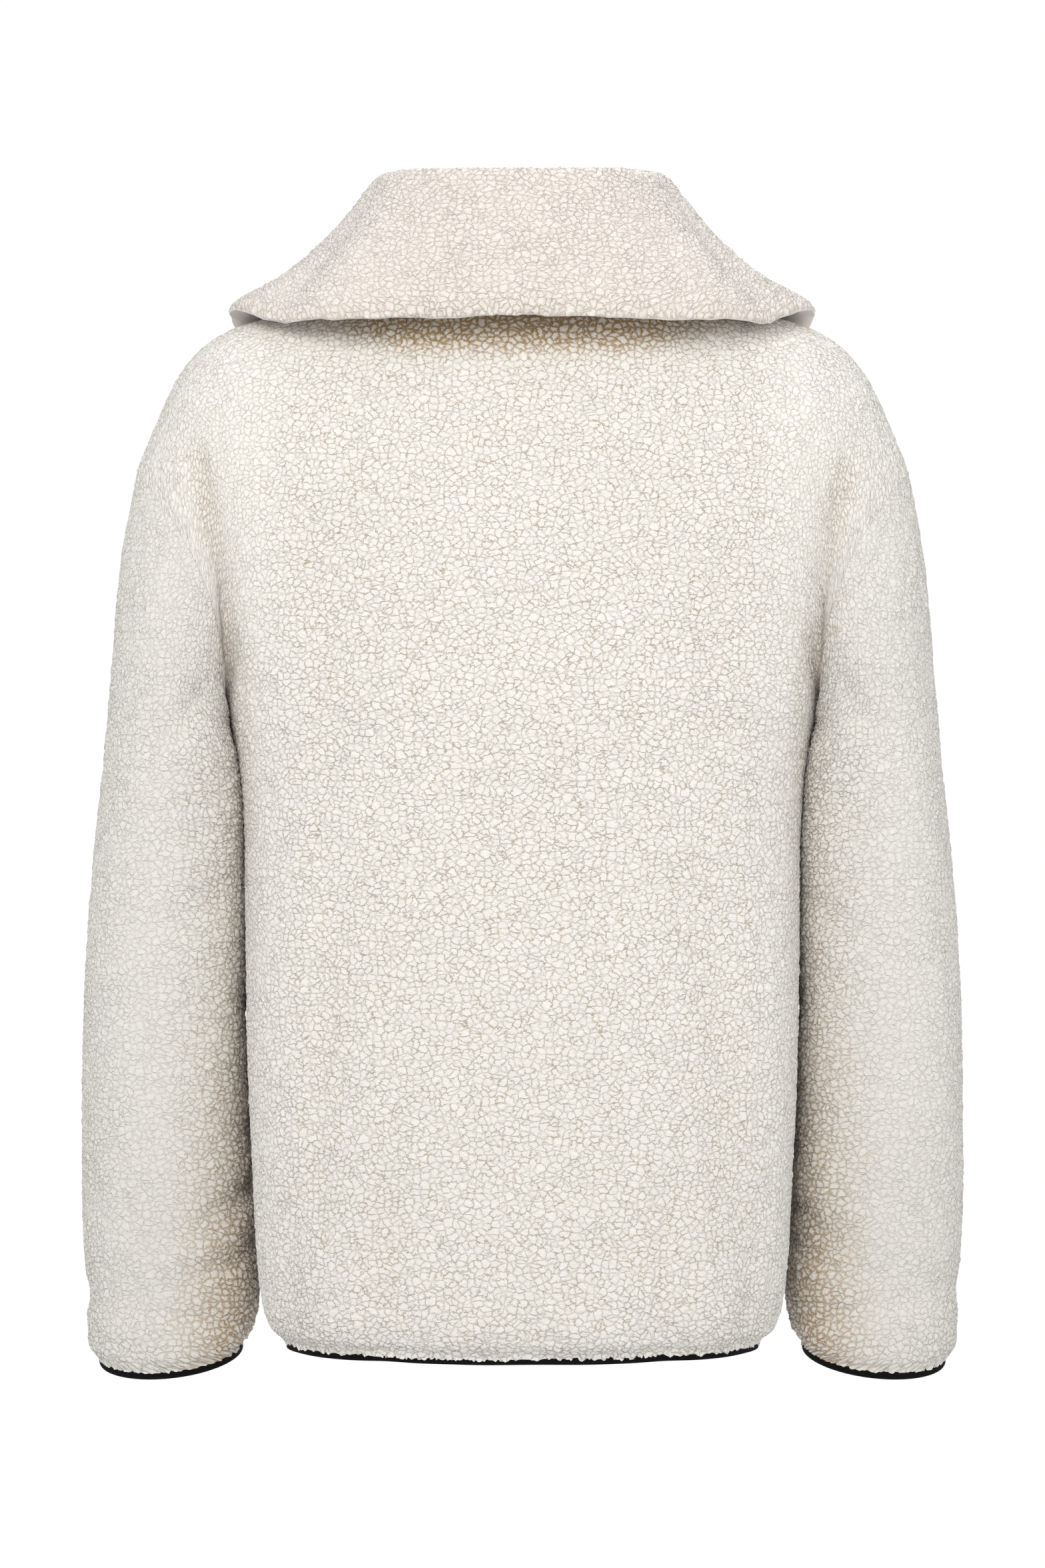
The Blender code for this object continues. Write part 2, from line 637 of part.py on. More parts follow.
def build_body(fleece):
    """The back and the two fronts. Returns the hem's edge, for its binding, and the fronts' faces."""
    back_grid, front_grid = quarter(1), quarter(-1)
    back_normals = quarter_normals(1, back_grid)
    front_normals = quarter_normals(-1, front_grid)
    whole_back = np.concatenate((mirrored(back_grid)[:, :-1], back_grid), axis=1)
    whole_normals = np.concatenate((mirrored(back_normals)[:, :-1], back_normals), axis=1)
    outer, inner = folded(whole_back, whole_normals, BACK_FOLDS)
    hem = {"back": (outer[0].copy(), inner[0].copy())}
    for face in (outer, inner):
        for edge in ("first_column", "last_column", "last_row"):
            draw_in(face, edge)
    wall("back", outer, inner, fleece)
    fronts = {}
    for side, name in ((1, "front_left"), (-1, "front_right")):
        flip = np.array((side, 1.0, 1.0))
        outer, inner = folded(front_grid * flip, front_normals * flip, FRONT_FOLDS)
        hem[name] = (outer[0].copy(), inner[0].copy())
        fronts[side] = (outer.copy(), inner.copy())
        for face in (outer, inner):
            draw_in(face, "last_column")
            draw_in(face, "last_row")
        wall(name, outer, inner, fleece)
    return hem, fronts


def build_hem(hem, binding):
    """One strip round the hem, from one side of the zip to the other."""
    edges = []
    for number in (0, 1):
        left = hem["front_left"][number]
        right = hem["front_right"][number]
        back = hem["back"][number][::-1]
        edges.append(np.concatenate((left, back[1:-1], right[::-1])))
    down = np.array((0.0, 0.0, -1.0))
    tube("hem_binding", binding_sections(edges[0], edges[1], down), binding)


def build_sleeves(fleece, binding):
    """Both sleeves and the binding on each cuff."""
    for side, name in ((1, "left"), (-1, "right")):
        outer, inner = sleeve(side)
        wall("sleeve_" + name, outer, inner, fleece, wrap=True)
        down = unit(outer[-1].mean(axis=0) - outer[-3].mean(axis=0))
        tube("cuff_binding_" + name, binding_sections(outer[-1], inner[-1], down), binding, wrap=True)


# Zip

def front_edge(fronts, side):
    """A front's edge at the zip: its inner face's first column, its second, and the way out."""
    outer, inner = fronts[side]
    edge, next_column = inner[:, 0], inner[:, 1]
    return edge, next_column, unit(outer[:, 0] - inner[:, 0])


def build_tapes(fronts, tape):
    """A tape behind each front edge, from its inner face's points moved in, reaching the middle."""
    for side, name in ((1, "left"), (-1, "right")):
        edge, beside, out = front_edge(fronts, side)
        middle = edge * np.array((0.0, 1.0, 1.0)) + np.array((side * SEAM_GAP, 0.0, 0.0))
        share = (TAPE_WIDTH - ZIP_GAP_HALF) / np.linalg.norm(beside - edge, axis=-1, keepdims=True)
        far = edge + (beside - edge) * share
        front = -out * SEAM_GAP
        rear = -out * (SEAM_GAP + TAPE_THICK)
        ring = (middle + front, edge + front, far + front, far + rear, edge + rear, middle + rear)
        tube("zip_tape_" + name, np.stack(ring, axis=1), tape)


def zip_line(fronts):
    """The middle of the zip on the tapes' front, from the hem to the neck, and the way out."""
    edge, beside, out = front_edge(fronts, 1)
    return edge * np.array((0.0, 1.0, 1.0)), out


def build_chain(fronts, metal):
    """The closed teeth as one strip on the tapes, from above the box to the top stops."""
    line, out = zip_line(fronts)
    line, out = line[CHAIN_FIRST_ROW:-1], out[CHAIN_FIRST_ROW:-1]
    half = np.array((CHAIN_HALF, 0.0, 0.0))
    ring = (line - half, line + half, line + half + out * CHAIN_THICK, line - half + out * CHAIN_THICK)
    tube("zip_chain", np.stack(ring, axis=1), metal)


def block(name, size, centre, look, bevel=0.0):
    """A box in the jacket's collection, with its upright and level edges eased."""
    shape = bmesh.new()
    made = bmesh.ops.create_cube(shape, size=1.0)["verts"]
    bmesh.ops.scale(shape, vec=[value * MM for value in size], verts=made)
    bmesh.ops.translate(shape, vec=[value * MM for value in centre], verts=made)
    if bevel:
        bmesh.ops.bevel(shape, geom=shape.edges, offset=bevel * MM, segments=1, affect="EDGES")
    mesh = bpy.data.meshes.new(name)
    shape.to_mesh(mesh)
    shape.free()
    return add_object(name, mesh, look)


def round_bar(name, radius, length, look):
    """A round bar along X, on its own origin."""
    shape = bmesh.new()
    bmesh.ops.create_cone(shape, cap_ends=True, segments=PULL_BAR_SIDES, radius1=radius * MM,
                          radius2=radius * MM, depth=length * MM,
                          matrix=Matrix.Rotation(math.radians(90), 4, "Y"))
    mesh = bpy.data.meshes.new(name)
    shape.to_mesh(mesh)
    shape.free()
    return add_object(name, mesh, look)


def cutter(made):
    """Keeps a thing that cuts, or that is joined on, out of the model."""
    bpy.data.collections["teddy_jacket"].objects.unlink(made)
    bpy.data.collections["cutters"].objects.link(made)
    made.hide_render = True
    made.display_type = "WIRE"
    return made


def combine(target, other, operation):
    """A Boolean on the target that stays as a modifier."""
    change = target.modifiers.new(other.name, "BOOLEAN")
    change.operation = operation
    change.object = other


def place(thing, centre, slope):
    """Sets a thing on the zip's line, leaning with the chest."""
    thing.location = [value * MM for value in centre]
    thing.rotation_euler = (slope, 0.0, 0.0)


def zip_station(fronts, z):
    """A point on the middle of the zip at a height, and how far the zip leans there about X."""
    line, out = zip_line(fronts)
    order = np.argsort(line[:, 2])
    heights = line[order, 2]
    centre = np.array([through(np.array(z), heights, line[order, k]) for k in range(3)])
    way = [through(np.array(z), heights, out[order, k]) for k in range(3)]
    return centre, -math.atan2(way[2], -way[1])


def build_slider(fronts, metal):
    """The slider near the top of the closed zip, the pull on its bridge, and the box at the foot.
    Their own axes are x across, y out of the front when negative, and z up the zip."""
    centre, slope = zip_station(fronts, SLIDER_Z)
    depth, height = SLIDER_SIZE[1:]
    slider = block("zip_slider", SLIDER_SIZE, (0, -SEAM_GAP - depth / 2, 0), metal, SLIDER_BEVEL)
    channel_depth = CHAIN_THICK + SEAM_GAP + CHANNEL_ROOM
    channel_size = (2 * (CHAIN_HALF + CHANNEL_ROOM), 2 * channel_depth, 2 * height)
    channel = cutter(block("slider_channel", channel_size, (0, 0, 0), metal))
    axis_y = -SEAM_GAP - depth - PULL_EYE[1] / 2 + EYE_SINK
    bridge = cutter(block("slider_bridge", BRIDGE_SIZE, (0, axis_y, 0), metal))
    eye = cutter(block("slider_eye", PULL_EYE, (0, axis_y, 0), metal))
    combine(slider, channel, "DIFFERENCE")
    combine(slider, bridge, "UNION")
    combine(slider, eye, "DIFFERENCE")
    pull_width, pull_thick, pull_length = PULL_SIZE
    bar_radius = pull_thick / 2
    pull = block("zip_pull", PULL_SIZE, (0, 0, -pull_length / 2), metal, PULL_BEVEL)
    window_z = -bar_radius - PULL_WINDOW[2] / 2
    window = cutter(block("pull_window", PULL_WINDOW, (0, 0, window_z), metal))
    bar = cutter(round_bar("pull_bar", bar_radius, pull_width - 2 * PULL_BEVEL, metal))
    combine(pull, window, "DIFFERENCE")
    combine(pull, bar, "UNION")
    turn = np.array(Matrix.Rotation(slope, 3, "X"))
    pivot = centre + turn @ np.array((0.0, axis_y, 0.0))
    for thing in (slider, channel, bridge, eye):
        place(thing, centre, slope)
    for thing in (pull, window, bar):
        place(thing, pivot, slope)
    foot, foot_slope = zip_station(fronts, HEM_Z + BOX_SIZE[2] * 0.6)
    box = block("zip_box", BOX_SIZE, (0, -2 * SEAM_GAP - BOX_SIZE[1] / 2, 0), metal, BOX_BEVEL)
    place(box, foot, foot_slope)


def main():
    """Clears the scene and makes the whole jacket."""
    for old in list(bpy.data.objects):
        bpy.data.objects.remove(old)
    collection = bpy.data.collections.new("teddy_jacket")
    cutters = bpy.data.collections.new("cutters")
    bpy.context.scene.collection.children.link(collection)
    bpy.context.scene.collection.children.link(cutters)
    fleece = ("fleece", FLEECE_LOOK)
    binding = ("binding", BINDING_LOOK)
    tape = ("zip_tape", TAPE_LOOK)
    metal = ("zip_metal", METAL_LOOK)
    hem, fronts = build_body(fleece)
    build_hem(hem, binding)
    build_sleeves(fleece, binding)
    shown, under = collar()
    wall("collar", shown, under, fleece)
    build_tapes(fronts, tape)
    build_chain(fronts, metal)
    build_slider(fronts, metal)


main()
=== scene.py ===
"""Looks of the teddy jacket: fleece shells with their pile, ribbed bindings, the zip and the stage.

Frame: metres, +Z up, the wearer faces -Y, the wearer's left is +X.
The tables and shape functions are the garment's own, in millimetres, as in its solids.
"""

import math

import bmesh
import bpy
import numpy as np
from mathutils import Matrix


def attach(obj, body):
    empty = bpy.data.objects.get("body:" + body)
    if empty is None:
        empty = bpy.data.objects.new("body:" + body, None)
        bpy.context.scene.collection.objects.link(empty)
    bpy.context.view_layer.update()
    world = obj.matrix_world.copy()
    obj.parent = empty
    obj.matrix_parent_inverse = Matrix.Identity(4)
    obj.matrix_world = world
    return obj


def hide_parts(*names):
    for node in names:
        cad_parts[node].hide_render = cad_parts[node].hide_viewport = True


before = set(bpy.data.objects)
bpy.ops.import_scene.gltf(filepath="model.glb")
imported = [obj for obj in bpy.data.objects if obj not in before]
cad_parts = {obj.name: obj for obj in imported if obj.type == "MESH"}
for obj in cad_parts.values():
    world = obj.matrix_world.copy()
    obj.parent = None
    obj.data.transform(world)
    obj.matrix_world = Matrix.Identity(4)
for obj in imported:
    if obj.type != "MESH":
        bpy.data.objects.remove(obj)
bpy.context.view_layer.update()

MM = 0.001
DOWN = np.array((0.0, 0.0, -1.0))
ON_MIDDLE = np.array((0.0, 1.0, 1.0))
SIDES = ((1, "left"), (-1, "right"))

# Cloth: walls, gaps and the folded binding
FLEECE = 5.0
COLLAR_FLEECE = 13.0
SEAM_GAP = 0.3
PILE_SEAM_GAP = 0.04
COLLAR_SEAM_GAP = 0.75
BINDING_HEIGHT = 6.5
BINDING_THICK = 4.6
STRIP_WALL = 1.0

# Body
SEAM_Y = -5.0
HEM_Z = -669.0
UNDERARM_Z = -262.0
BODY_COLUMNS = ("z", "half_width", "back_depth", "front_depth", "squareness")
BODY_SECTIONS = (
    (-669.0, 152.0, 117.0, 110.0, 2.30),
    (-664.0, 159.5, 125.0, 118.0, 2.30),
    (-655.0, 164.5, 131.0, 124.0, 2.32),
    (-640.0, 168.0, 134.0, 128.0, 2.34),
    (-610.0, 171.0, 134.5, 129.5, 2.36),
    (-560.0, 173.5, 132.0, 129.0, 2.38),
    (-500.0, 176.5, 128.0, 127.5, 2.38),
    (-420.0, 177.4, 123.0, 126.0, 2.36),
    (-340.0, 178.0, 122.0, 128.0, 2.34),
    (-310.0, 180.5, 123.5, 129.5, 2.32),
    (-285.0, 184.9, 125.5, 130.5, 2.30),
    (-262.0, 190.0, 127.0, 131.0, 2.30),
)

# Neck and shoulders
ZIP_GAP_HALF = 6.0
NECK_HALF_WIDTH = 92.0
NECK_SHARE = 0.36
NECK_BACK_DEPTH = 71.0
NECK_BACK_Z = -2.0
NECK_SIDE_Z = 14.0
NECK_FRONT_DEPTH = 92.0
NECK_FRONT_Z = -95.0
BACK_FULLNESS = (1.9, 2.5)
FRONT_FULLNESS = (1.25, 1.9)
FULLNESS_REACH = 1.6 * NECK_SHARE
NECK_LEAN = (0.85, 0.53)
NECK_BACK_CURVE = 0.8
SHOULDER_COLUMNS = ("x", "z")
SHOULDER_LINE = (
    (92.0, 14.0),
    (130.0, -1.0),
    (165.0, -14.0),
    (189.5, -22.5),
    (206.0, -33.0),
    (219.5, -48.0),
    (229.0, -66.0),
    (238.0, -87.0),
    (248.0, -112.0),
)

# Armhole
ARMHOLE_TOP_X = 248.0
ARMHOLE_TOP_Z = -112.0
ARMHOLE_LOW_X = 190.0
ARMHOLE_DEPTH_HALF = 80.0
ARMHOLE_BOW = 19.0
ARMHOLE_PULL = 2.6
ARMHOLE_LEAN = (0.88, 0.02, 0.47)

# Sleeve rings, from the armhole down to the cuff
SLEEVE_COLUMNS = ("outer_x", "inner_x", "outer_z", "inner_z",
                  "centre_y", "half_depth", "back_drop", "bow")
SLEEVE_RINGS = (
    (248.0, 190.0, -112.0, -262.0, -5.0, 80.0, 0.0, 19.0),
    (259.0, 190.0, -175.0, -279.0, -7.0, 80.5, 0.0, 11.0),
    (264.5, 183.6, -236.0, -297.0, -12.0, 79.0, 0.0, 4.0),
    (269.5, 180.2, -292.0, -322.0, -17.0, 76.0, 0.0, 0.0),
    (276.5, 178.3, -352.0, -358.0, -24.0, 72.0, 1.0, 0.0),
    (283.5, 178.0, -440.0, -440.0, -34.0, 67.0, 3.0, 0.0),
    (286.0, 175.5, -530.0, -530.0, -43.0, 63.0, 6.0, 0.0),
    (286.0, 172.0, -602.0, -599.0, -51.0, 60.0, 9.0, 0.0),
    (284.0, 172.0, -646.0, -640.0, -56.0, 58.5, 11.0, 0.0),
    (283.5, 174.0, -667.0, -660.0, -58.0, 57.5, 11.0, 0.0),
    (282.0, 177.5, -678.0, -670.0, -59.0, 54.5, 11.0, 0.0),
    (276.5, 182.5, -684.0, -676.0, -59.5, 48.0, 11.0, 0.0),
)

# Collar: each row is a direction round the neck from the centre back, in degrees
COLLAR_COLUMNS = ("angle", "corner_out", "corner_z", "fall_out", "fall_z",
                  "edge_out", "edge_z", "turn")
COLLAR_LINES = (
    (0.0, 86.0, 82.0, 115.0, 26.0, 127.0, -20.0, 0.0),
    (30.0, 85.0, 83.0, 119.0, 26.0, 137.0, -21.0, 0.0),
    (60.0, 82.0, 84.5, 130.0, 18.0, 165.0, -20.0, 0.0),
    (90.0, 80.0, 84.0, 139.0, 3.0, 186.0, -9.0, 0.0),
    (115.0, 87.0, 67.0, 140.0, -6.0, 181.0, -40.0, -4.0),
    (140.0, 98.0, 26.0, 140.0, -53.0, 174.0, -102.0, -13.0),
    (160.0, 106.0, -18.0, 139.0, -89.0, 166.0, -151.0, -24.0),
    (180.0, 113.0, -56.0, 138.0, -116.0, 163.0, -188.0, -38.0),
)
COLLAR_WAVE_COLUMNS = ("angle", "spread", "height")
COLLAR_WAVES = (
    (66.0, 5.5, -3.2),
    (53.0, 7.0, 1.6),
    (20.0, 9.0, -0.9),
    (104.0, 8.0, -1.8),
    (128.0, 9.0, 1.5),
)
ROLL_REACH = 25.0
ROLL_HANDLE = 0.5
ROLL_SQUEEZE = 0.45
STAND_SHARE = 0.29
ROLL_SHARE = 0.49
EDGE_SHARE = 0.93
EDGE_THIN = 0.72
REACH_LIMIT = 0.55
PARTING_START = 120.0
COLUMN_SHIFT = 0.02
SQUEEZE_REACH = 0.15
WAVE_START = ROLL_SHARE - 0.06
WAVE_RISE = 0.3
COLLAR_EDGE_ROUND = 5.5
EDGE_BLUNT = 0.2

# Soft folds: troughs are negative
FOLD_LIMIT_X = 185.0
FOLD_LIMIT_POWER = 8
FOLD_TOP_FADE = 3.0
FOLD_FOOT = 1.08
FOLD_FOOT_FADE = 4.0
FOLD_COLUMNS = ("x_top", "x_foot", "z_top", "z_foot", "width", "depth")
BACK_FOLDS = (
    (118.0, 130.0, -330.0, -610.0, 17.0, -5.0),
    (88.0, 86.0, -520.0, -668.0, 15.0, -3.6),
    (-120.0, -131.0, -350.0, -600.0, 17.0, -5.0),
    (-87.0, -89.0, -540.0, -668.0, 15.0, -3.6),
    (150.0, 146.0, -560.0, -668.0, 12.0, -3.4),
    (-149.0, -145.0, -550.0, -668.0, 12.0, -3.4),
    (128.0, 122.0, -110.0, -330.0, 16.0, -2.6),
    (-128.0, -122.0, -120.0, -320.0, 16.0, -2.6),
    (30.0, 24.0, -500.0, -668.0, 20.0, 1.8),
    (-34.0, -40.0, -560.0, -668.0, 18.0, 1.6),
)
# Sharper creases of the back, inside the armholes, that the solids leave out
BACK_CREASES = (
    (206.0, 188.0, -80.0, -250.0, 9.0, -3.8),
    (-206.0, -189.0, -86.0, -250.0, 9.0, -3.5),
)
FRONT_FOLDS = (
    (110.0, 122.0, -310.0, -590.0, 18.0, -5.0),
    (62.0, 56.0, -470.0, -668.0, 16.0, -3.8),
    (-114.0, -120.0, -340.0, -610.0, 17.0, -5.0),
    (-58.0, -63.0, -500.0, -668.0, 16.0, -3.6),
    (146.0, 140.0, -540.0, -668.0, 13.0, -3.2),
    (-147.0, -143.0, -560.0, -668.0, 13.0, -3.2),
)
SLEEVE_FOLD_SHIFT = 6.0
SLEEVE_FOLD_TOP_FADE = 6.0
SLEEVE_FOLD_FOOT_FADE = 12.0
SLEEVE_FOLD_COLUMNS = ("angle", "spread", "z", "lean", "width", "depth")
SLEEVE_FOLDS = (
    (150.0, 60.0, -585.0, 26.0, 11.0, -5.0),
    (128.0, 55.0, -622.0, 18.0, 10.0, -4.2),
    (120.0, 62.0, -655.0, -9.0, 8.0, -3.6),
    (215.0, 58.0, -560.0, -20.0, 12.0, -4.4),
    (240.0, 62.0, -625.0, -14.0, 10.0, -4.2),
    (205.0, 50.0, -470.0, -24.0, 14.0, -4.0),
    (120.0, 46.0, -395.0, 22.0, 14.0, -2.6),
    (20.0, 50.0, -640.0, 8.0, 10.0, -2.0),
    (100.0, 30.0, -265.0, 26.0, 15.0, -5.0),
    (262.0, 32.0, -270.0, -24.0, 15.0, -5.0),
)

# Fine grids: cells of about 2 mm on the outside, one in four of them on the inside
INNER_STEP = 4
NECK_FINE = 72
SHOULDER_FINE = 56
BODY_FINE = 204
ARMHOLE_FINE = 132
SLEEVE_FINE = 240
SLEEVE_ROUND = 192
COLLAR_ROUND_FINE = 432
STAND_FINE = 24
ROLL_FINE = 20
FALL_FINE = 60
SEAM_BLEND = 10
BODY_CROWDING = 1.2
SLEEVE_CROWDING = 1.2
FALL_CROWDING = 1.15
SIDE_CELLS = 14
SHARP_ANGLE = math.radians(50)
TOOTH_SHARP_ANGLE = math.radians(40)

# Pile
BODY_CLUMP = 4.9
COLLAR_CLUMP = 4.5
CLUMP_FLATNESS = 1.22
SEAM_DIP = 1.1
SEAM_DIP_CELLS = 1.8
SHOULDER_DIP = 0.2
SHOULDER_DIP_HEIGHTS = (-95.0, -205.0)
PUFF_TOP = (-236.0, -250.0)
PUFF_FOOT = (-480.0, -360.0)
CORNER_PUFF_TOP = (-228.0, -258.0)
BODY_PUFF = 1.4
SLEEVE_PUFF = 1.8
CORNER_PUFF = 3.0
CUFF_FADE_CELLS = 24
EDGE_ROUND = 5.0
HEM_DROP = 3.4
CUFF_DROP = 1.3
RAGGED_CELLS = 3
RAGGED_SHARES = (0.05, 0.55, 0.4)
RAGGED_CURVE = 1.5
RAGGED_PROUD = 0.6
COLLAR_RAGGED = 1.8
COLLAR_RAGGED_CELLS = 5

# One clump: reach from its crack, how its crown rounds, its least height and how the curls sit on it
CLUMP_REACH = 0.36
CLUMP_ROUNDNESS = 2.2
CLUMP_LEAST = 0.60
CURLS_A_CLUMP = 2.6
CURL_HEIGHT = 0.22
MEAN_RELIEF = 0.80
TUFT_SCALE, TUFT_HEIGHT = 0.26, 2.0
SWELL_SCALE, SWELL_HEIGHT = 0.022, 1.2
WIDE_SHAKE = (0.07, 7.0, 2.0)
FINE_SHAKE = (0.50, 3.8, 1.0)
# The most painted shade that a place may have
PAINTED_SHADE_LIMIT = 1.3
CRACK_WIDTH = 0.092
CRACK_FADING = (0.36, 0.62, 0.30, 1.0)

# Colours, as linear red, green and blue
CREAM = ((0.85, 0.828, 0.785), (0.88, 0.86, 0.818))
WARM_CREAM = ((0.855, 0.81, 0.765), (0.88, 0.838, 0.795))
# The tan is painted shade in the cracks between the clumps and in the hollows beside them
CRACK_SHADE_TAN = (0.44, 0.35, 0.235)
# The brown is painted shade in the pile's depths, in creases, under the collar and between sleeve and
# body
SHADE_BROWN = (0.42, 0.27, 0.115)

# Zip
TAPE_THICK = 1.0
TAPE_WIDTH = 13.0
CHAIN_HALF = 2.6
CHAIN_THICK = 2.2
CHAIN_FIRST_Z = -655.0
CHAIN_LAST_Z = -98.0
TOOTH_PITCH = 1.45
TOOTH_TIP = -0.9
TOOTH_HALF_SHARES = (0.336, 0.525)

# Weaves: the pitch of the elastic's ribs and courses and of the tape's twill
RIB_PITCH = 1.3
COURSE_PITCH = 0.9
TWILL_PITCH = 0.8

# Camera: the photo's frame, with the jacket in the middle of it
PHOTO_HEIGHT_PX = 2352
CENTRE_ROW = 1163
NECK_ROW = 445
METRES_PER_PX = 0.000428
CAMERA_DISTANCE = 3.6

# Stage, in metres and watts
FLOOR_Z = -1.06
FLOOR_RINGS = (0.4, 0.8, 1.1)
SURROUND_STRENGTH = 0.68
LIT_POINT = (0.0, 0.0, -0.3)
LAMPS = (
    ("key", (1.0, 3.3, 1.2), 1.6, 56.0, (1.0, 0.985, 0.96)),
    ("fill", (-1.4, 3.2, 0.5), 1.8, 32.0, (1.0, 0.99, 0.97)),
    ("front_key", (-1.1, -3.2, 1.2), 1.8, 56.0, (1.0, 0.985, 0.96)),
)


# Arithmetic on arrays

def table(names, rows):
    """The columns of a table of rows, as arrays by their names."""
    return dict(zip(names, np.array(rows).T))


def through(at, knots, values):
    """A cubic curve through the knots. At each knot its slope is that of the knots on either side."""
    slopes = np.gradient(values, knots)
    at = np.clip(at, knots[0], knots[-1])
    low = np.clip(np.searchsorted(knots, at, side="right") - 1, 0, len(knots) - 2)
    step = knots[low + 1] - knots[low]
    t = (at - knots[low]) / step
    start, end = values[low], values[low + 1]
    rise = slopes[low] * step
    fall = slopes[low + 1] * step
    return (start * (1 + 2 * t) * (1 - t) ** 2 + rise * t * (1 - t) ** 2
            + end * t * t * (3 - 2 * t) + fall * t * t * (t - 1))


def stack(x, y, z):
    """Three arrays as one array of points."""
    return np.stack(np.broadcast_arrays(x, y, z), axis=-1)


def unit(vectors):
    """Each vector at length one."""
    return vectors / np.maximum(np.linalg.norm(vectors, axis=-1, keepdims=True), 1e-9)


def mix(share, low, high):
    """From low at share 0 to high at share 1."""
    return low + (high - low) * share


def ease(t):
    """A soft step from 0 to 1."""
    t = np.clip(t, 0.0, 1.0)
    return t * t * (3 - 2 * t)


def between(value, start, end):
    """A soft step from 0 where a value is at the start to 1 where it is at the end, up or down."""
    return ease((value - start) / (end - start))


def bent(start, first, second, end, t):
    """A curve from start to end that leaves towards the first handle and arrives from the second."""
    t = np.clip(t, 0.0, 1.0)[..., None]
    back = 1 - t
    return start * back ** 3 + 3 * first * back ** 2 * t + 3 * second * back * t * t + end * t ** 3


def rounding(distance, radius):
    """The height of a round edge: the square root of 1 - (1 - distance / radius)^2."""
    away = 1 - np.clip(distance / radius, 0.0, 1.0)
    return np.sqrt(np.maximum(1 - away * away, 0.0))


def run_length(points):
    """The length along a line of points, from its first."""
    steps = np.linalg.norm(np.diff(points, axis=0), axis=-1)
    return np.concatenate((np.zeros((1,) + steps.shape[1:]), np.cumsum(steps, axis=0)))


def run_across(grid):
    """The length along each row of a grid, from its first column."""
    return run_length(np.swapaxes(grid, 0, 1)).T


def smooth_random(random, count, width):
    """Random numbers from 0 to 1 along a line, averaged over a width of cells."""
    values = random.random(count + 2 * width)
    kernel = np.hanning(2 * width + 1)
    values = np.convolve(values, kernel / kernel.sum(), mode="same")[width:width + count]
    return np.clip((values - values.min()) / (np.ptp(values) + 1e-9), 0, 1)


# Body panels

def ring_point(face, across, z):
    """The torso's section at a height: a quarter of a rounded oval, from the centre to the side seam.
    x = gap + (half width - gap) * sin^(2/n), y = seam + depth * cos^(2/n), with n the squareness."""
    body = table(BODY_COLUMNS, BODY_SECTIONS)
    width = through(z, body["z"], body["half_width"])
    depth = through(z, body["z"], body["back_depth"] if face > 0 else body["front_depth"])
    power = 2.0 / through(z, body["z"], body["squareness"])
    gap = 0.0 if face > 0 else ZIP_GAP_HALF
    turn = across * math.pi / 2
    x = gap + (width - gap) * np.sin(turn) ** power
    y = SEAM_Y + face * depth * np.maximum(np.cos(turn), 0.0) ** power
    return stack(x, y, z)


def neck_point(face, turn):
    """The neck seam, a quarter turn from the centre to the side. The front dips by 1 - sin(turn)."""
    gap = 0.0 if face > 0 else ZIP_GAP_HALF
    depth = NECK_BACK_DEPTH if face > 0 else NECK_FRONT_DEPTH
    low = NECK_BACK_Z if face > 0 else NECK_FRONT_Z
    x = gap + (NECK_HALF_WIDTH - gap) * np.sin(turn)
    y = SEAM_Y + face * depth * np.cos(turn)
    dip = (1 - np.sin(turn)) if face < 0 else (1 - np.sin(turn)) ** NECK_BACK_CURVE
    return stack(x, y, NECK_SIDE_Z + (low - NECK_SIDE_Z) * dip)


def top_point(face, across):
    """A panel's top edge: the neck seam, then the shoulder seam out to the dropped shoulder point."""
    neck = neck_point(face, np.clip(across / NECK_SHARE, 0, 1) * math.pi / 2)
    line = table(SHOULDER_COLUMNS, SHOULDER_LINE)
    reach = np.concatenate(([0.0], np.cumsum(np.hypot(np.diff(line["x"]), np.diff(line["z"])))))
    out = np.clip((across - NECK_SHARE) / (1 - NECK_SHARE), 0, 1) * reach[-1]
    shoulder = stack(through(out, reach, line["x"]), SEAM_Y, through(out, reach, line["z"]))
    return np.where((across < NECK_SHARE)[..., None], neck, shoulder)


def armhole_point(angle):
    """The armhole seam. Angle 0 is the shoulder point, 90 degrees the back, 180 the underarm."""
    c, s = np.cos(angle), np.sin(angle)
    x = mix((1 + c) / 2, ARMHOLE_LOW_X, ARMHOLE_TOP_X) - ARMHOLE_BOW * s * s
    return stack(x, SEAM_Y + ARMHOLE_DEPTH_HALF * s, mix((1 + c) / 2, UNDERARM_Z, ARMHOLE_TOP_Z))


def yoke_point(face, across, rise):
    """Above the underarm: each column turns from upright to level like a quarter of a rounded oval,
    and the outer columns are drawn over to the armhole, by across to the power of the pull."""
    turn = rise * math.pi / 2
    full = BACK_FULLNESS if face > 0 else FRONT_FULLNESS

    def turned(column):
        power = 2.0 / mix(ease(column / FULLNESS_REACH), *full)
        low = ring_point(face, column, np.full_like(column, UNDERARM_Z))
        top = top_point(face, column)
        level = (np.maximum(np.cos(turn), 0.0) ** power)[..., None]
        upright = (np.sin(turn) ** power)[..., None]
        plan = top + (low - top) * level
        height = low + (top - low) * upright
        return np.concatenate((plan[..., :2], height[..., 2:]), axis=-1)

    hole = armhole_point(math.pi * (1 - rise))
    hole[..., 1] = SEAM_Y + face * (hole[..., 1] - SEAM_Y)
    pull = (across ** ARMHOLE_PULL)[..., None]
    return turned(across) + pull * (hole - turned(np.ones_like(across)))


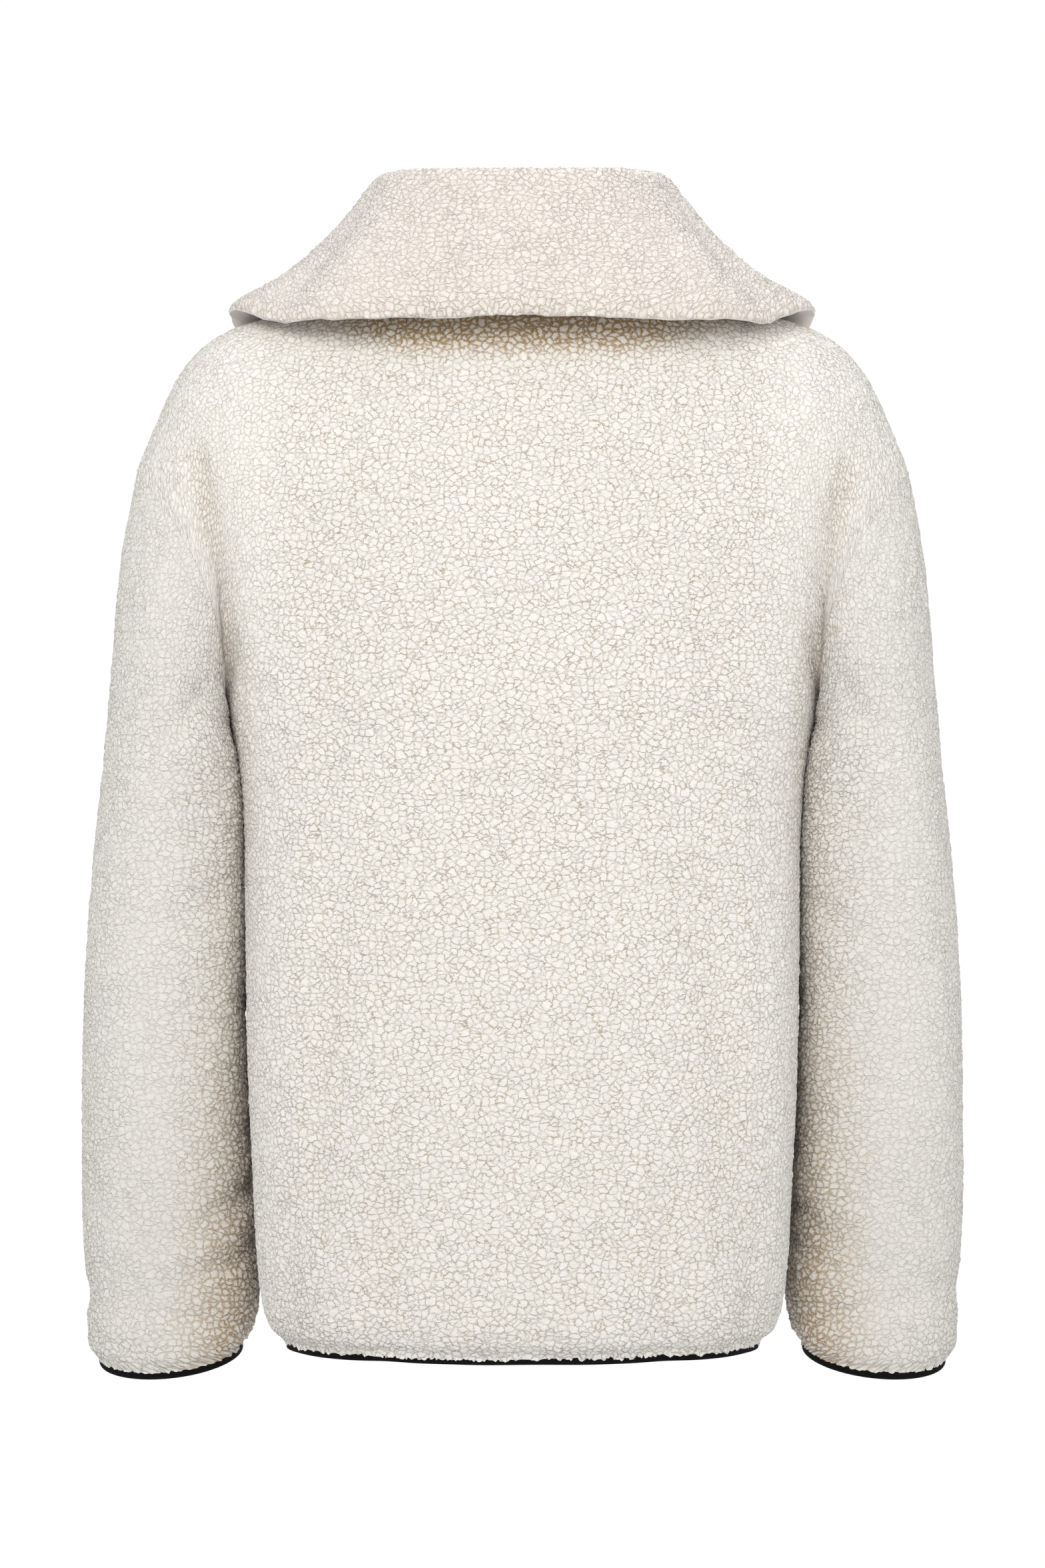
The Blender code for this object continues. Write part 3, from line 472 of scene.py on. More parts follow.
def folds(rows, x, z):
    """Soft troughs and ridges down a panel: each is a bell across x, fading at its top and foot."""
    depth = np.zeros_like(x)
    for row in rows:
        fold = dict(zip(FOLD_COLUMNS, row))
        along = (fold["z_top"] - z) / (fold["z_top"] - fold["z_foot"])
        middle = mix(ease(along), fold["x_top"], fold["x_foot"])
        fade = ease(along * FOLD_TOP_FADE) * ease((FOLD_FOOT - along) * FOLD_FOOT_FADE)
        depth += fold["depth"] * fade * np.exp(-((x - middle) / fold["width"]) ** 2)
    return depth


def quarter(face):
    """A quarter of the body, rows from the hem up to the neck and shoulder, columns to the side."""
    neck = np.linspace(0, NECK_SHARE, NECK_FINE + 1)
    columns = np.concatenate((neck, np.linspace(NECK_SHARE, 1, SHOULDER_FINE + 1)[1:]))
    heights = HEM_Z + (UNDERARM_Z - HEM_Z) * np.linspace(0, 1, BODY_FINE + 1) ** BODY_CROWDING
    z, across = np.meshgrid(heights, columns, indexing="ij")
    torso = ring_point(face, across, z)
    rises = np.linspace(0, 1, ARMHOLE_FINE + 1)[1:]
    rise, across = np.meshgrid(rises, columns, indexing="ij")
    return np.concatenate((torso, yoke_point(face, across, rise)), axis=0)


def surface_normals(grid, wrap=False):
    """Unit normals of a grid of points, from the slopes along its rows and columns."""
    up = np.gradient(grid, axis=0)
    if wrap:
        along = np.roll(grid, -1, axis=1) - np.roll(grid, 1, axis=1)
    else:
        along = np.gradient(grid, axis=1)
    return unit(np.cross(along, up))


def neck_normal(points):
    """The outward direction that the body's and the collar's edges share on the neck seam."""
    out = points - np.array((0.0, SEAM_Y, 0.0))
    out[..., 2] = 0.0
    level, up = NECK_LEAN
    return unit(unit(out) * level + np.array((0.0, 0.0, up)))


def armhole_normal(angle):
    """The outward direction that a panel's and a sleeve's edges share on the armhole seam."""
    c, s = np.cos(angle), np.sin(angle)
    high = np.maximum(c, 0)
    low = np.maximum(-c, 0)
    sideways, least, up = ARMHOLE_LEAN
    return unit(stack(sideways * high + least, s, up * high - low))


def lead_to(normals, edge_normals, cells):
    """Turns the last rows' normals towards the edge's own, over some cells."""
    share = ease(1 - np.arange(normals.shape[0])[::-1] / cells)[:, None, None]
    return unit(mix(share, normals, edge_normals[None]))


def quarter_normals(face, grid):
    """Outward normals of a quarter, made to agree with its neighbours on every seam."""
    normals = surface_normals(grid)
    if np.mean(normals[:BODY_FINE, 0, 1]) * face < 0:
        normals = -normals
    normals[:, 0, 0] = 0.0
    across = np.swapaxes(normals, 0, 1)
    side = across[-1].copy()
    side[:, 1] *= ease(np.arange(len(side)) / BODY_FINE - 1)
    hole = armhole_normal(math.pi * (1 - np.linspace(0, 1, ARMHOLE_FINE + 1)))
    hole[:, 1] *= face
    side[BODY_FINE:] = hole
    normals = np.swapaxes(lead_to(across, unit(side), SEAM_BLEND), 0, 1)
    top = normals[-1].copy()
    top[:NECK_FINE + 1] = neck_normal(grid[-1, :NECK_FINE + 1].copy())
    tangent = np.gradient(grid[-1, NECK_FINE:], axis=0)
    top[NECK_FINE + 1:-1] = stack(-tangent[:, 2], 0.0, tangent[:, 0])[1:-1]
    return lead_to(normals, unit(top), SEAM_BLEND)


def draw_in(grid, edge, gap=PILE_SEAM_GAP):
    """Moves an edge a hair towards the row or column beside it: the pile closes the seam."""
    row, beside = {
        "first_row": ((0,), (1,)),
        "last_row": ((-1,), (-2,)),
        "first_column": ((slice(None), 0), (slice(None), 1)),
        "last_column": ((slice(None), -1), (slice(None), -2)),
    }[edge]
    grid[row] = grid[row] + unit(grid[beside] - grid[row]) * gap


def mirrored(grid):
    """The other side's grid, with its columns in the same sense."""
    return grid[:, ::-1] * np.array((-1.0, 1.0, 1.0))


def folded(grid, normals, rows):
    """A panel's outer and inner faces after its folds."""
    depth = folds(rows, grid[..., 0], grid[..., 2])
    depth *= 1 - np.clip(np.abs(grid[..., 0]) / FOLD_LIMIT_X, 0, 1) ** FOLD_LIMIT_POWER
    outer = grid + normals * depth[..., None]
    return outer, outer - normals * FLEECE


# Sleeves

def sleeve_rings(along):
    """Every column of the sleeve's table at a share of the way from the armhole to the cuff."""
    values = table(SLEEVE_COLUMNS, SLEEVE_RINGS)
    middle = (values["outer_z"] + values["inner_z"]) / 2
    knots = (middle[0] - middle) / (middle[0] - middle[-1])
    return {name: through(along, knots, column) for name, column in values.items()}


def sleeve_point(angle, along):
    """A sleeve's ring: outer side at angle 0, back at 90 degrees, inner side at 180.
    Each ring is an oval that may lean sideways and drop at the back."""
    ring = sleeve_rings(along)
    c, s = np.cos(angle), np.sin(angle)
    x = mix((1 + c) / 2, ring["inner_x"], ring["outer_x"]) - ring["bow"] * s * s
    y = ring["centre_y"] + ring["half_depth"] * s
    z = mix((1 + c) / 2, ring["inner_z"], ring["outer_z"]) - ring["back_drop"] * s
    return stack(x, y, z)


def sleeve_folds(side, angle, z):
    """Creases that run part of the way round a sleeve. The left one's lie a little off the right's."""
    depth = np.zeros_like(z)
    degrees = np.degrees(angle)
    for number, row in enumerate(SLEEVE_FOLDS):
        fold = dict(zip(SLEEVE_FOLD_COLUMNS, row))
        shift = SLEEVE_FOLD_SHIFT * math.sin(2.1 * number + 1.3 * side)
        away = ((degrees - fold["angle"] + 180.0) % 360.0 - 180.0) / fold["spread"]
        line = fold["z"] + shift + fold["lean"] * away
        depth += fold["depth"] * np.exp(-away ** 2 - ((z - line) / fold["width"]) ** 2)
    return depth


def sleeve(side):
    """A sleeve's unfolded form, its outer and inner faces and its outward directions."""
    angles = np.linspace(0, 2 * math.pi, SLEEVE_ROUND + 1)[:-1]
    shares = 1 - (1 - np.linspace(0, 1, SLEEVE_FINE + 1)) ** SLEEVE_CROWDING
    along, angle = np.meshgrid(shares, angles, indexing="ij")
    grid = sleeve_point(angle, along)
    normals = surface_normals(grid, wrap=True)
    if np.mean(normals[:, 0, 0]) < 0:
        normals = -normals
    normals = lead_to(normals[::-1], armhole_normal(angles), SEAM_BLEND)[::-1]
    fade = ease(along * SLEEVE_FOLD_TOP_FADE) * ease((1 - along) * SLEEVE_FOLD_FOOT_FADE)
    depth = sleeve_folds(side, angle, grid[..., 2]) * fade
    outer = grid + normals * depth[..., None]
    inner = outer - normals * FLEECE
    draw_in(outer, "first_row")
    draw_in(inner, "first_row")
    flip = np.array((side, 1.0, 1.0))
    return grid * flip, outer * flip, inner * flip, normals * flip


# Collar

def collar_middle(turn, share):
    """The collar's middle surface. Turn is the direction round the neck, 0 at the centre back.
    The stand is straight, and the roll and the fall are curves that follow on from it."""
    lines = table(COLLAR_COLUMNS, COLLAR_LINES)
    degrees = np.degrees(np.abs(turn))
    sign = np.sign(turn)
    line = {name: through(degrees, lines["angle"], column) for name, column in lines.items()}
    gap = ZIP_GAP_HALF * ease((degrees - PARTING_START) / (180.0 - PARTING_START))

    def at(out, z, swing):
        bearing = np.radians(degrees + swing)
        return stack(sign * (out * np.sin(bearing) + gap), SEAM_Y + out * np.cos(bearing), z)

    back = neck_point(1, np.minimum(np.abs(turn), math.pi / 2))
    front = neck_point(-1, np.clip(math.pi - np.abs(turn), 0, math.pi / 2))
    seam = np.where((degrees <= 90.0)[..., None], back, front)
    seam = seam - neck_normal(seam.copy()) * FLEECE / 2
    seam = seam * stack(np.where(sign == 0, 1.0, sign), 1.0, 1.0)
    corner = at(line["corner_out"], line["corner_z"], 0.0)
    fall = at(line["fall_out"], line["fall_z"], line["turn"] * 0.5)
    edge = at(line["edge_out"], line["edge_z"], line["turn"])
    reach = np.minimum(ROLL_REACH, REACH_LIMIT * np.linalg.norm(corner - seam, axis=-1))[..., None]
    roll_start = corner + unit(seam - corner) * reach
    roll_end = corner + unit(fall - corner) * ROLL_REACH

    stand = mix(np.clip(share / STAND_SHARE, 0, 1)[..., None], seam, roll_start)
    roll = bent(roll_start, mix(ROLL_HANDLE, roll_start, corner), mix(ROLL_HANDLE, roll_end, corner),
                roll_end, (share - STAND_SHARE) / (ROLL_SHARE - STAND_SHARE))
    hang = bent(roll_end, mix(2 / 3, roll_end, fall), mix(2 / 3, edge, fall), edge,
                (share - ROLL_SHARE) / (1 - ROLL_SHARE))
    low = (share < STAND_SHARE)[..., None]
    high = (share > ROLL_SHARE)[..., None]
    return np.where(low, stand, np.where(high, hang, roll))


def collar():
    """The collar's middle, its two faces and its outward directions.
    Its walls close with a round edge along the foot of the fall and down both front ends."""
    half = np.linspace(0, 1, COLLAR_ROUND_FINE // 2 + 1)
    half = (half + COLUMN_SHIFT * np.sin(math.pi * half)) * math.pi
    turns = np.concatenate((-half[::-1][:-1], half))
    fall = 1 - (1 - np.linspace(0, 1, FALL_FINE + 1)) ** FALL_CROWDING
    shares = np.concatenate((
        np.linspace(0, STAND_SHARE, STAND_FINE + 1)[:-1],
        np.linspace(STAND_SHARE, ROLL_SHARE, ROLL_FINE + 1)[:-1],
        mix(fall, ROLL_SHARE, 1.0)))
    share, turn = np.meshgrid(shares, turns, indexing="ij")
    grid = collar_middle(turn, share)
    normals = surface_normals(grid)
    if normals[-1, len(turns) // 2, 1] < 0:
        normals = -normals
    seam = -neck_normal(grid[0].copy())
    normals = lead_to(normals[::-1], seam, SEAM_BLEND)[::-1]
    thick = mix(ease(share / STAND_SHARE), FLEECE, COLLAR_FLEECE)
    thick *= mix(ease((share - EDGE_SHARE) / (1 - EDGE_SHARE)), 1.0, EDGE_THIN)
    from_roll = np.abs(share - (STAND_SHARE + ROLL_SHARE) / 2) / SQUEEZE_REACH
    squeeze = mix(ease(1.4 - from_roll), 1.0, ROLL_SQUEEZE)
    wave = np.zeros_like(share)
    for row in COLLAR_WAVES:
        one = dict(zip(COLLAR_WAVE_COLUMNS, row))
        away = (np.abs(np.degrees(turn)) - one["angle"]) / one["spread"]
        wave += one["height"] * np.exp(-away ** 2)
    grid = grid + normals * (wave * ease((share - WAVE_START) / WAVE_RISE))[..., None]
    to_edge = run_length(grid[::-1])[::-1]
    to_end = run_across(grid)
    to_end = np.minimum(to_end, to_end[:, -1:] - to_end)
    round_edge = (rounding(to_edge + EDGE_BLUNT, COLLAR_EDGE_ROUND)
                  * rounding(to_end + EDGE_BLUNT, COLLAR_EDGE_ROUND))
    half_wall = normals * (thick * round_edge)[..., None] / 2
    shown, under = grid + half_wall, grid - half_wall * squeeze[..., None]
    for face in (shown, under):
        face[0] += unit(face[1] - face[0]) * COLLAR_SEAM_GAP
    return grid, shown, under, normals, share


# Meshes

def store(mesh, name, kind, values):
    """A value at each point of a mesh."""
    attribute = mesh.attributes.new(name, kind, "POINT")
    field = "vector" if kind == "FLOAT_VECTOR" else "value"
    attribute.data.foreach_set(field, np.ascontiguousarray(values, np.float32).ravel())


def closed_mesh(name, points, faces):
    """A mesh in metres from points in millimetres, with its faces turned to point out."""
    mesh = bpy.data.meshes.new(name)
    mesh.from_pydata(np.asarray(points) * MM, [], faces)
    shape = bmesh.new()
    shape.from_mesh(mesh)
    bmesh.ops.recalc_face_normals(shape, faces=shape.faces)
    if shape.calc_volume(signed=True) < 0:
        bmesh.ops.reverse_faces(shape, faces=shape.faces)
    shape.to_mesh(mesh)
    shape.free()
    mesh.shade_smooth()
    return mesh


def add_piece(name, mesh, finish, body="garment", node=()):
    """An object for a piece: its finish, its body and the nodes it stands for."""
    mesh.materials.append(finish)
    piece = bpy.data.objects.new(name, mesh)
    bpy.context.scene.collection.objects.link(piece)
    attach(piece, body)
    if node:
        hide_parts(*node)
    return piece


def grid_faces(number):
    """The quads of a grid of point numbers."""
    quads = np.stack((number[:-1, :-1], number[:-1, 1:], number[1:, 1:], number[1:, :-1]), axis=-1)
    return quads.reshape(-1, 4)


def shell(name, outer, inner, cloth, out, marks, wrap=False):
    """A closed shell: a fine outer face, a coarse inner one, and rims that join the two.
    Each rim face has a run of fine points along its outer side and two points on its inner one."""
    rows, cols = outer.shape[:2]
    coarse = inner[::INNER_STEP, ::INNER_STEP]
    fine_number = np.arange(rows * cols).reshape(rows, cols)
    coarse_number = rows * cols + np.arange(coarse.shape[0] * coarse.shape[1]).reshape(coarse.shape[:2])
    if wrap:
        fine_number = np.concatenate((fine_number, fine_number[:, :1]), axis=1)
        coarse_number = np.concatenate((coarse_number, coarse_number[:, :1]), axis=1)
    faces = grid_faces(fine_number).tolist() + grid_faces(coarse_number)[:, ::-1].tolist()
    rims = [(fine_number[0], coarse_number[0]), (fine_number[-1], coarse_number[-1])]
    if not wrap:
        rims += [(fine_number[:, 0], coarse_number[:, 0]), (fine_number[:, -1], coarse_number[:, -1])]
    for fine, far in rims:
        runs = np.lib.stride_tricks.sliding_window_view(fine, INNER_STEP + 1)[::INNER_STEP]
        faces += np.concatenate((runs, far[1:, None], far[:-1, None]), axis=1).tolist()
    points = np.concatenate((outer.reshape(-1, 3), coarse.reshape(-1, 3)))
    mesh = closed_mesh(name, points, faces)
    mesh.set_sharp_from_angle(angle=SHARP_ANGLE)
    for kind, values in (("cloth", cloth), ("out", out)):
        both = (values.reshape(-1, 3), values[::INNER_STEP, ::INNER_STEP].reshape(-1, 3))
        store(mesh, kind, "FLOAT_VECTOR", np.concatenate(both))
    inside = np.zeros(coarse.shape[0] * coarse.shape[1])
    for kind, values in marks.items():
        there = inside + 1 if kind == "tone_and_painted_light" else inside
        values = np.broadcast_to(values, outer.shape[:2]).ravel()
        store(mesh, kind, "FLOAT", np.concatenate((values, there)))
    return mesh


def seam_dip(count, ends):
    """How far a face sinks beside its seams: a bell over a few cells at the given ends."""
    place = np.arange(count)
    dip = np.zeros(count)
    for end in ends:
        away = place if end == "first" else count - 1 - place
        dip = np.maximum(dip, np.exp(-(away / SEAM_DIP_CELLS) ** 2))
    return dip


def seam_depth(z):
    """How much of its dip an armhole seam has at a height: little at the shoulder, all low down."""
    return mix(between(z, *SHOULDER_DIP_HEIGHTS), SHOULDER_DIP, 1.0)


def underarm_puff(z):
    """How much the pile swells at a height, where the sleeve and the body nearly meet."""
    return between(z, *PUFF_TOP) * between(z, *PUFF_FOOT)


def ragged(outer, out, down, rows, reach, random):
    """Lets the edge's last cells hang over the binding, unevenly, and stand a little proud of it."""
    cols = outer.shape[1]
    fine, broad = random.random(cols), smooth_random(random, cols, 3)
    least, by_cell, by_lock = RAGGED_SHARES
    drop = reach * (least + by_cell * fine + by_lock * broad)
    for cell in range(RAGGED_CELLS):
        share = (1 - cell / RAGGED_CELLS) ** RAGGED_CURVE
        row = rows[cell]
        outer[row] += share * drop[:, None] * down + share * RAGGED_PROUD * out[row]
    return outer


# Node helpers

def add_node(tree, kind, **settings):
    """A node with its properties set, and its inputs set by name or linked."""
    node = tree.nodes.new(kind)
    for name, value in settings.items():
        setattr(node, name, value)
    return node


def feed(tree, node, values):
    """Links or sets a node's inputs, by name or number."""
    for name, value in values.items():
        socket = node.inputs[name]
        if isinstance(value, bpy.types.NodeSocket):
            tree.links.new(value, socket)
        else:
            socket.default_value = value
    return node


def maths(tree, operation, a, b=0.0, c=0.0, clamp=False):
    """One sum on numbers."""
    node = add_node(tree, "ShaderNodeMath", operation=operation, use_clamp=clamp)
    return feed(tree, node, {0: a, 1: b, 2: c}).outputs[0]


def total(tree, parts, start=0.0):
    """The sum of values, each times its weight."""
    for value, weight in parts:
        start = maths(tree, "MULTIPLY_ADD", value, weight, start)
    return start


def product(tree, first, *others):
    """The product of values."""
    for value in others:
        first = maths(tree, "MULTIPLY", first, value)
    return first


def stored(tree, name, output="Fac"):
    """A value that the mesh stores, for a finish."""
    return add_node(tree, "ShaderNodeAttribute", attribute_name=name).outputs[output]


def vector_maths(tree, operation, a, b=(0.0, 0.0, 0.0), scale=None):
    """One sum on vectors."""
    node = add_node(tree, "ShaderNodeVectorMath", operation=operation)
    feed(tree, node, {0: a})
    if scale is not None:
        feed(tree, node, {"Scale": scale})
    else:
        feed(tree, node, {1: b})
    return node.outputs[0]


def noise(tree, vector, scale, detail=2.0, rough=0.5, output="Fac"):
    """A noise of that scale at a place."""
    node = add_node(tree, "ShaderNodeTexNoise", noise_dimensions="3D")
    feed(tree, node, {"Vector": vector, "Scale": scale, "Detail": detail, "Roughness": rough})
    return node.outputs[output]


def step_between(tree, value, low, high, to_low=0.0, to_high=1.0):
    """A soft step of a value between two bounds."""
    node = add_node(tree, "ShaderNodeMapRange", interpolation_type="SMOOTHSTEP")
    bounds = {"From Min": low, "From Max": high, "To Min": to_low, "To Max": to_high}
    feed(tree, node, {"Value": value, **bounds})
    return node.outputs[0]


def blend_colours(tree, share, low, high):
    """Two colours mixed by a share."""
    node = add_node(tree, "ShaderNodeMix", data_type="RGBA", blend_type="MIX")
    feed(tree, node, {"Factor": share})
    for socket, value in ((node.inputs[6], low), (node.inputs[7], high)):
        if isinstance(value, bpy.types.NodeSocket):
            tree.links.new(value, socket)
        else:
            socket.default_value = (*value, 1.0)
    return node.outputs[2]


# Fleece: the same cells drive the relief of the mesh and the cracks of the finish

def shaken(tree, place, scale, reach, detail):
    """A place moved by a noise of a scale, as far as half its reach each way."""
    push = noise(tree, place, scale, detail, 0.5, "Color")
    push = vector_maths(tree, "SUBTRACT", push, (0.5, 0.5, 0.5))
    return vector_maths(tree, "ADD", place, vector_maths(tree, "SCALE", push, scale=reach))


def clump_cells(tree, cloth, size):
    """The pile's clumps at a place on the flat cloth: the distance to the nearest crack, in clumps,
    a random number for each clump, and the height of the small curls inside it.
    The place is shaken first, widely for uneven sizes and finely for wavy cracks."""
    place = shaken(tree, shaken(tree, cloth, *WIDE_SHAKE), *FINE_SHAKE)
    cells = {"Vector": place, "Scale": 1 / size, "Randomness": 1.0}
    edge = add_node(tree, "ShaderNodeTexVoronoi", voronoi_dimensions="2D", feature="DISTANCE_TO_EDGE")
    feed(tree, edge, cells)
    cell = add_node(tree, "ShaderNodeTexVoronoi", voronoi_dimensions="2D", feature="F1")
    feed(tree, cell, cells)
    number = feed(tree, add_node(tree, "ShaderNodeSeparateXYZ"), {"Vector": cell.outputs["Color"]})
    curl = add_node(tree, "ShaderNodeTexVoronoi", voronoi_dimensions="2D", feature="SMOOTH_F1")
    feed(tree, curl, {**cells, "Scale": CURLS_A_CLUMP / size, "Smoothness": 0.35})
    curls = step_between(tree, curl.outputs["Distance"], 0.05, 0.62, 1.0, 0.0)
    return edge.outputs["Distance"], number.outputs[0], curls


def clump_relief(tree, edge, number, curls, cloth):
    """A clump's height from 0 in the crack to about 1 on its crown, with the curls on it:
    1 - (1 - distance / reach) to the power of the roundness, times the clump's own height."""
    rise = maths(tree, "DIVIDE", edge, CLUMP_REACH, clamp=True)
    rise = maths(tree, "SUBTRACT", 1.0, rise)
    rise = maths(tree, "SUBTRACT", 1.0, maths(tree, "POWER", rise, CLUMP_ROUNDNESS))
    tall = total(tree, [(number, 1 - CLUMP_LEAST)], CLUMP_LEAST)
    wide = step_between(tree, noise(tree, cloth, 0.035, 2.0), 0.3, 0.7, 0.75, 1.15)
    tall = total(tree, [(curls, CURL_HEIGHT)], product(tree, tall, wide))
    return product(tree, rise, tall)


def pile_relief(name, clump, height):
    """A Geometry Nodes group that raises the clumps along the cloth's outward direction."""
    tree = bpy.data.node_groups.new(name, "GeometryNodeTree")
    tree.interface.new_socket("Geometry", in_out="INPUT", socket_type="NodeSocketGeometry")
    tree.interface.new_socket("Geometry", in_out="OUTPUT", socket_type="NodeSocketGeometry")
    enter = tree.nodes.new("NodeGroupInput")
    leave = tree.nodes.new("NodeGroupOutput")

    def read(attribute, kind):
        node = add_node(tree, "GeometryNodeInputNamedAttribute", data_type=kind)
        node.inputs["Name"].default_value = attribute
        return node.outputs["Attribute"]

    cloth = read("cloth", "FLOAT_VECTOR")
    edge, number, curls = clump_cells(tree, cloth, clump)
    relief = clump_relief(tree, edge, number, curls, cloth)
    tufts = noise(tree, cloth, TUFT_SCALE, 3.0, 0.6)
    swell = noise(tree, cloth, SWELL_SCALE, 2.0)
    middle = MEAN_RELIEF * height + TUFT_HEIGHT / 2 + SWELL_HEIGHT / 2
    rise = total(tree, [(relief, height), (tufts, TUFT_HEIGHT), (swell, SWELL_HEIGHT)], -middle)
    rise = product(tree, rise, read("pile", "FLOAT"), MM)
    offset = vector_maths(tree, "SCALE", read("out", "FLOAT_VECTOR"), scale=rise)
    move = add_node(tree, "GeometryNodeSetPosition")
    feed(tree, move, {"Geometry": enter.outputs[0], "Offset": offset})
    tree.links.new(move.outputs[0], leave.inputs[0])
    return tree


def new_finish(name):
    """A material with its own Principled shader. Returns the material, its tree and the shader."""
    finish = bpy.data.materials.new(name)
    finish.use_nodes = True
    return finish, finish.node_tree, finish.node_tree.nodes["Principled BSDF"]


def add_bump(tree, shader, height):
    """Gives a finish its fine relief, from a height in millimetres."""
    bump = add_node(tree, "ShaderNodeBump")
    feed(tree, bump, {"Strength": 1.0, "Distance": 1.0, "Height": product(tree, height, MM)})
    tree.links.new(bump.outputs[0], shader.inputs["Normal"])


def set_constants(shader, values):
    """Sets a shader's plain values by name."""
    for name, value in values.items():
        shader.inputs[name].default_value = value


def fleece_finish(name, clump, pile_colour, crack_shade_strength, clump_height):
    """Fleece: cream clumps that differ a little, thin tan cracks between them, curls and fine fibres.
    The tan of the cracks and of the hollows near them is painted shade. Where the mark of painted shade
    is high, the depths of the pile turn a warm brown, which is also painted shade. A mark of painted
    light and shade makes the cream brighter or darker."""
    finish, tree, shader = new_finish(name)
    cloth = stored(tree, "cloth", "Vector")
    edge, number, curls = clump_cells(tree, cloth, clump)
    crack = step_between(tree, edge, 0.0, CRACK_WIDTH, 1.0, 0.0)
    seen = step_between(tree, noise(tree, cloth, 0.13, 2.0), *CRACK_FADING)
    crack_share = product(tree, crack, seen, stored(tree, "cracks"))
    hollow = step_between(tree, edge, 0.02, 0.30, 1.0, 0.0)
    lint = total(tree, [(noise(tree, cloth, 0.9, 3.0, 0.6), 0.08)], -0.04)
    tone_and_painted_light = total(tree, [(number, 0.035), (curls, 0.06), (lint, 1.0)], 0.935)
    # Clumps, curls and lint differ at random; the stored mark then adds painted light and shade
    tone_and_painted_light = product(tree, tone_and_painted_light, stored(tree, "tone_and_painted_light"))
    cream = blend_colours(tree, noise(tree, cloth, 0.012, 2.0), *pile_colour)
    toned = vector_maths(tree, "SCALE", cream, scale=tone_and_painted_light)
    # Painted shade: the clumps darken to tan towards their cracks, and the cracks darken further
    colour = blend_colours(tree, product(tree, hollow, 0.10), toned, CRACK_SHADE_TAN)
    colour = blend_colours(tree, product(tree, crack_share, crack_shade_strength), colour, CRACK_SHADE_TAN)
    mottle = step_between(tree, noise(tree, cloth, 0.22, 3.0, 0.6), 0.3, 0.7, 0.7, 1.2)
    # Painted shade: where the mark of painted shade is high, the pile's hollows turn brown and its
    # curls less so
    deep = total(tree, [(hollow, 0.95), (curls, -0.2)], 0.26)
    brown = product(tree, stored(tree, "painted_shade"), deep)
    brown = maths(tree, "MULTIPLY", brown, mottle, clamp=True)
    tree.links.new(blend_colours(tree, brown, colour, SHADE_BROWN), shader.inputs["Base Color"])

    relief = clump_relief(tree, edge, number, curls, cloth)
    height = total(tree, [(relief, clump_height), (crack_share, -0.22), (curls, 0.26)])
    fibres = noise(tree, cloth, 2.2, 3.0, 0.65)
    add_bump(tree, shader, total(tree, [(fibres, 0.20)], product(tree, height, stored(tree, "pile"))))
    set_constants(shader, {"Roughness": 1.0, "Diffuse Roughness": 1.0, "Specular IOR Level": 0.15,
                           "Sheen Weight": 0.45, "Sheen Roughness": 0.5,
                           "Sheen Tint": (1.0, 0.965, 0.91, 1.0)})
    return finish


def wave_along(tree, run, pitch):
    """A sine wave along a length, one for every pitch."""
    return maths(tree, "SINE", product(tree, run, 2 * math.pi / pitch))


def binding_finish():
    """Black elastic: fine ribs across the strip, a soft nap and a faint sheen."""
    finish, tree, shader = new_finish("black_elastic")
    run = stored(tree, "cloth", "Vector")
    split = feed(tree, add_node(tree, "ShaderNodeSeparateXYZ"), {"Vector": run})
    ribs = wave_along(tree, split.outputs[0], RIB_PITCH)
    courses = wave_along(tree, split.outputs[1], COURSE_PITCH)
    lint = noise(tree, run, 0.9, 3.0, 0.6)
    share = step_between(tree, lint, 0.45, 0.8)
    colour = blend_colours(tree, share, (0.0012, 0.0012, 0.0014), (0.006, 0.006, 0.006))
    tree.links.new(colour, shader.inputs["Base Color"])
    add_bump(tree, shader, total(tree, [(ribs, 0.10), (courses, 0.03), (lint, 0.12)]))
    set_constants(shader, {"Roughness": 0.85, "Specular IOR Level": 0.15})
    return finish


def tape_finish():
    """Black woven zip tape: a small herringbone and a dull surface."""
    finish, tree, shader = new_finish("woven_tape")
    run = stored(tree, "cloth", "Vector")
    split = feed(tree, add_node(tree, "ShaderNodeSeparateXYZ"), {"Vector": run})
    lean = maths(tree, "PINGPONG", split.outputs[1], 2.0)
    twill = wave_along(tree, maths(tree, "ADD", split.outputs[0], lean), TWILL_PITCH)
    share = step_between(tree, twill, -1.0, 1.0)
    colour = blend_colours(tree, share, (0.006, 0.006, 0.006), (0.016, 0.016, 0.017))
    tree.links.new(colour, shader.inputs["Base Color"])
    add_bump(tree, shader, product(tree, twill, 0.05))
    set_constants(shader, {"Roughness": 0.8})
    return finish


def metal_finish():
    """Dark plated metal: satin, with small scratches and a worn, brighter bloom."""
    finish, tree, shader = new_finish("dark_metal")
    place = add_node(tree, "ShaderNodeTexCoord").outputs["Object"]
    cloud = noise(tree, place, 350.0, 3.0)
    scratch = noise(tree, vector_maths(tree, "MULTIPLY", place, (3000.0, 3000.0, 400.0)), 1.0, 2.0)
    worn = step_between(tree, cloud, 0.4, 0.75)
    colour = blend_colours(tree, worn, (0.085, 0.085, 0.09), (0.17, 0.165, 0.16))
    tree.links.new(colour, shader.inputs["Base Color"])
    tree.links.new(step_between(tree, scratch, 0.3, 0.8, 0.26, 0.46), shader.inputs["Roughness"])
    set_constants(shader, {"Metallic": 1.0})
    return finish


# Pieces

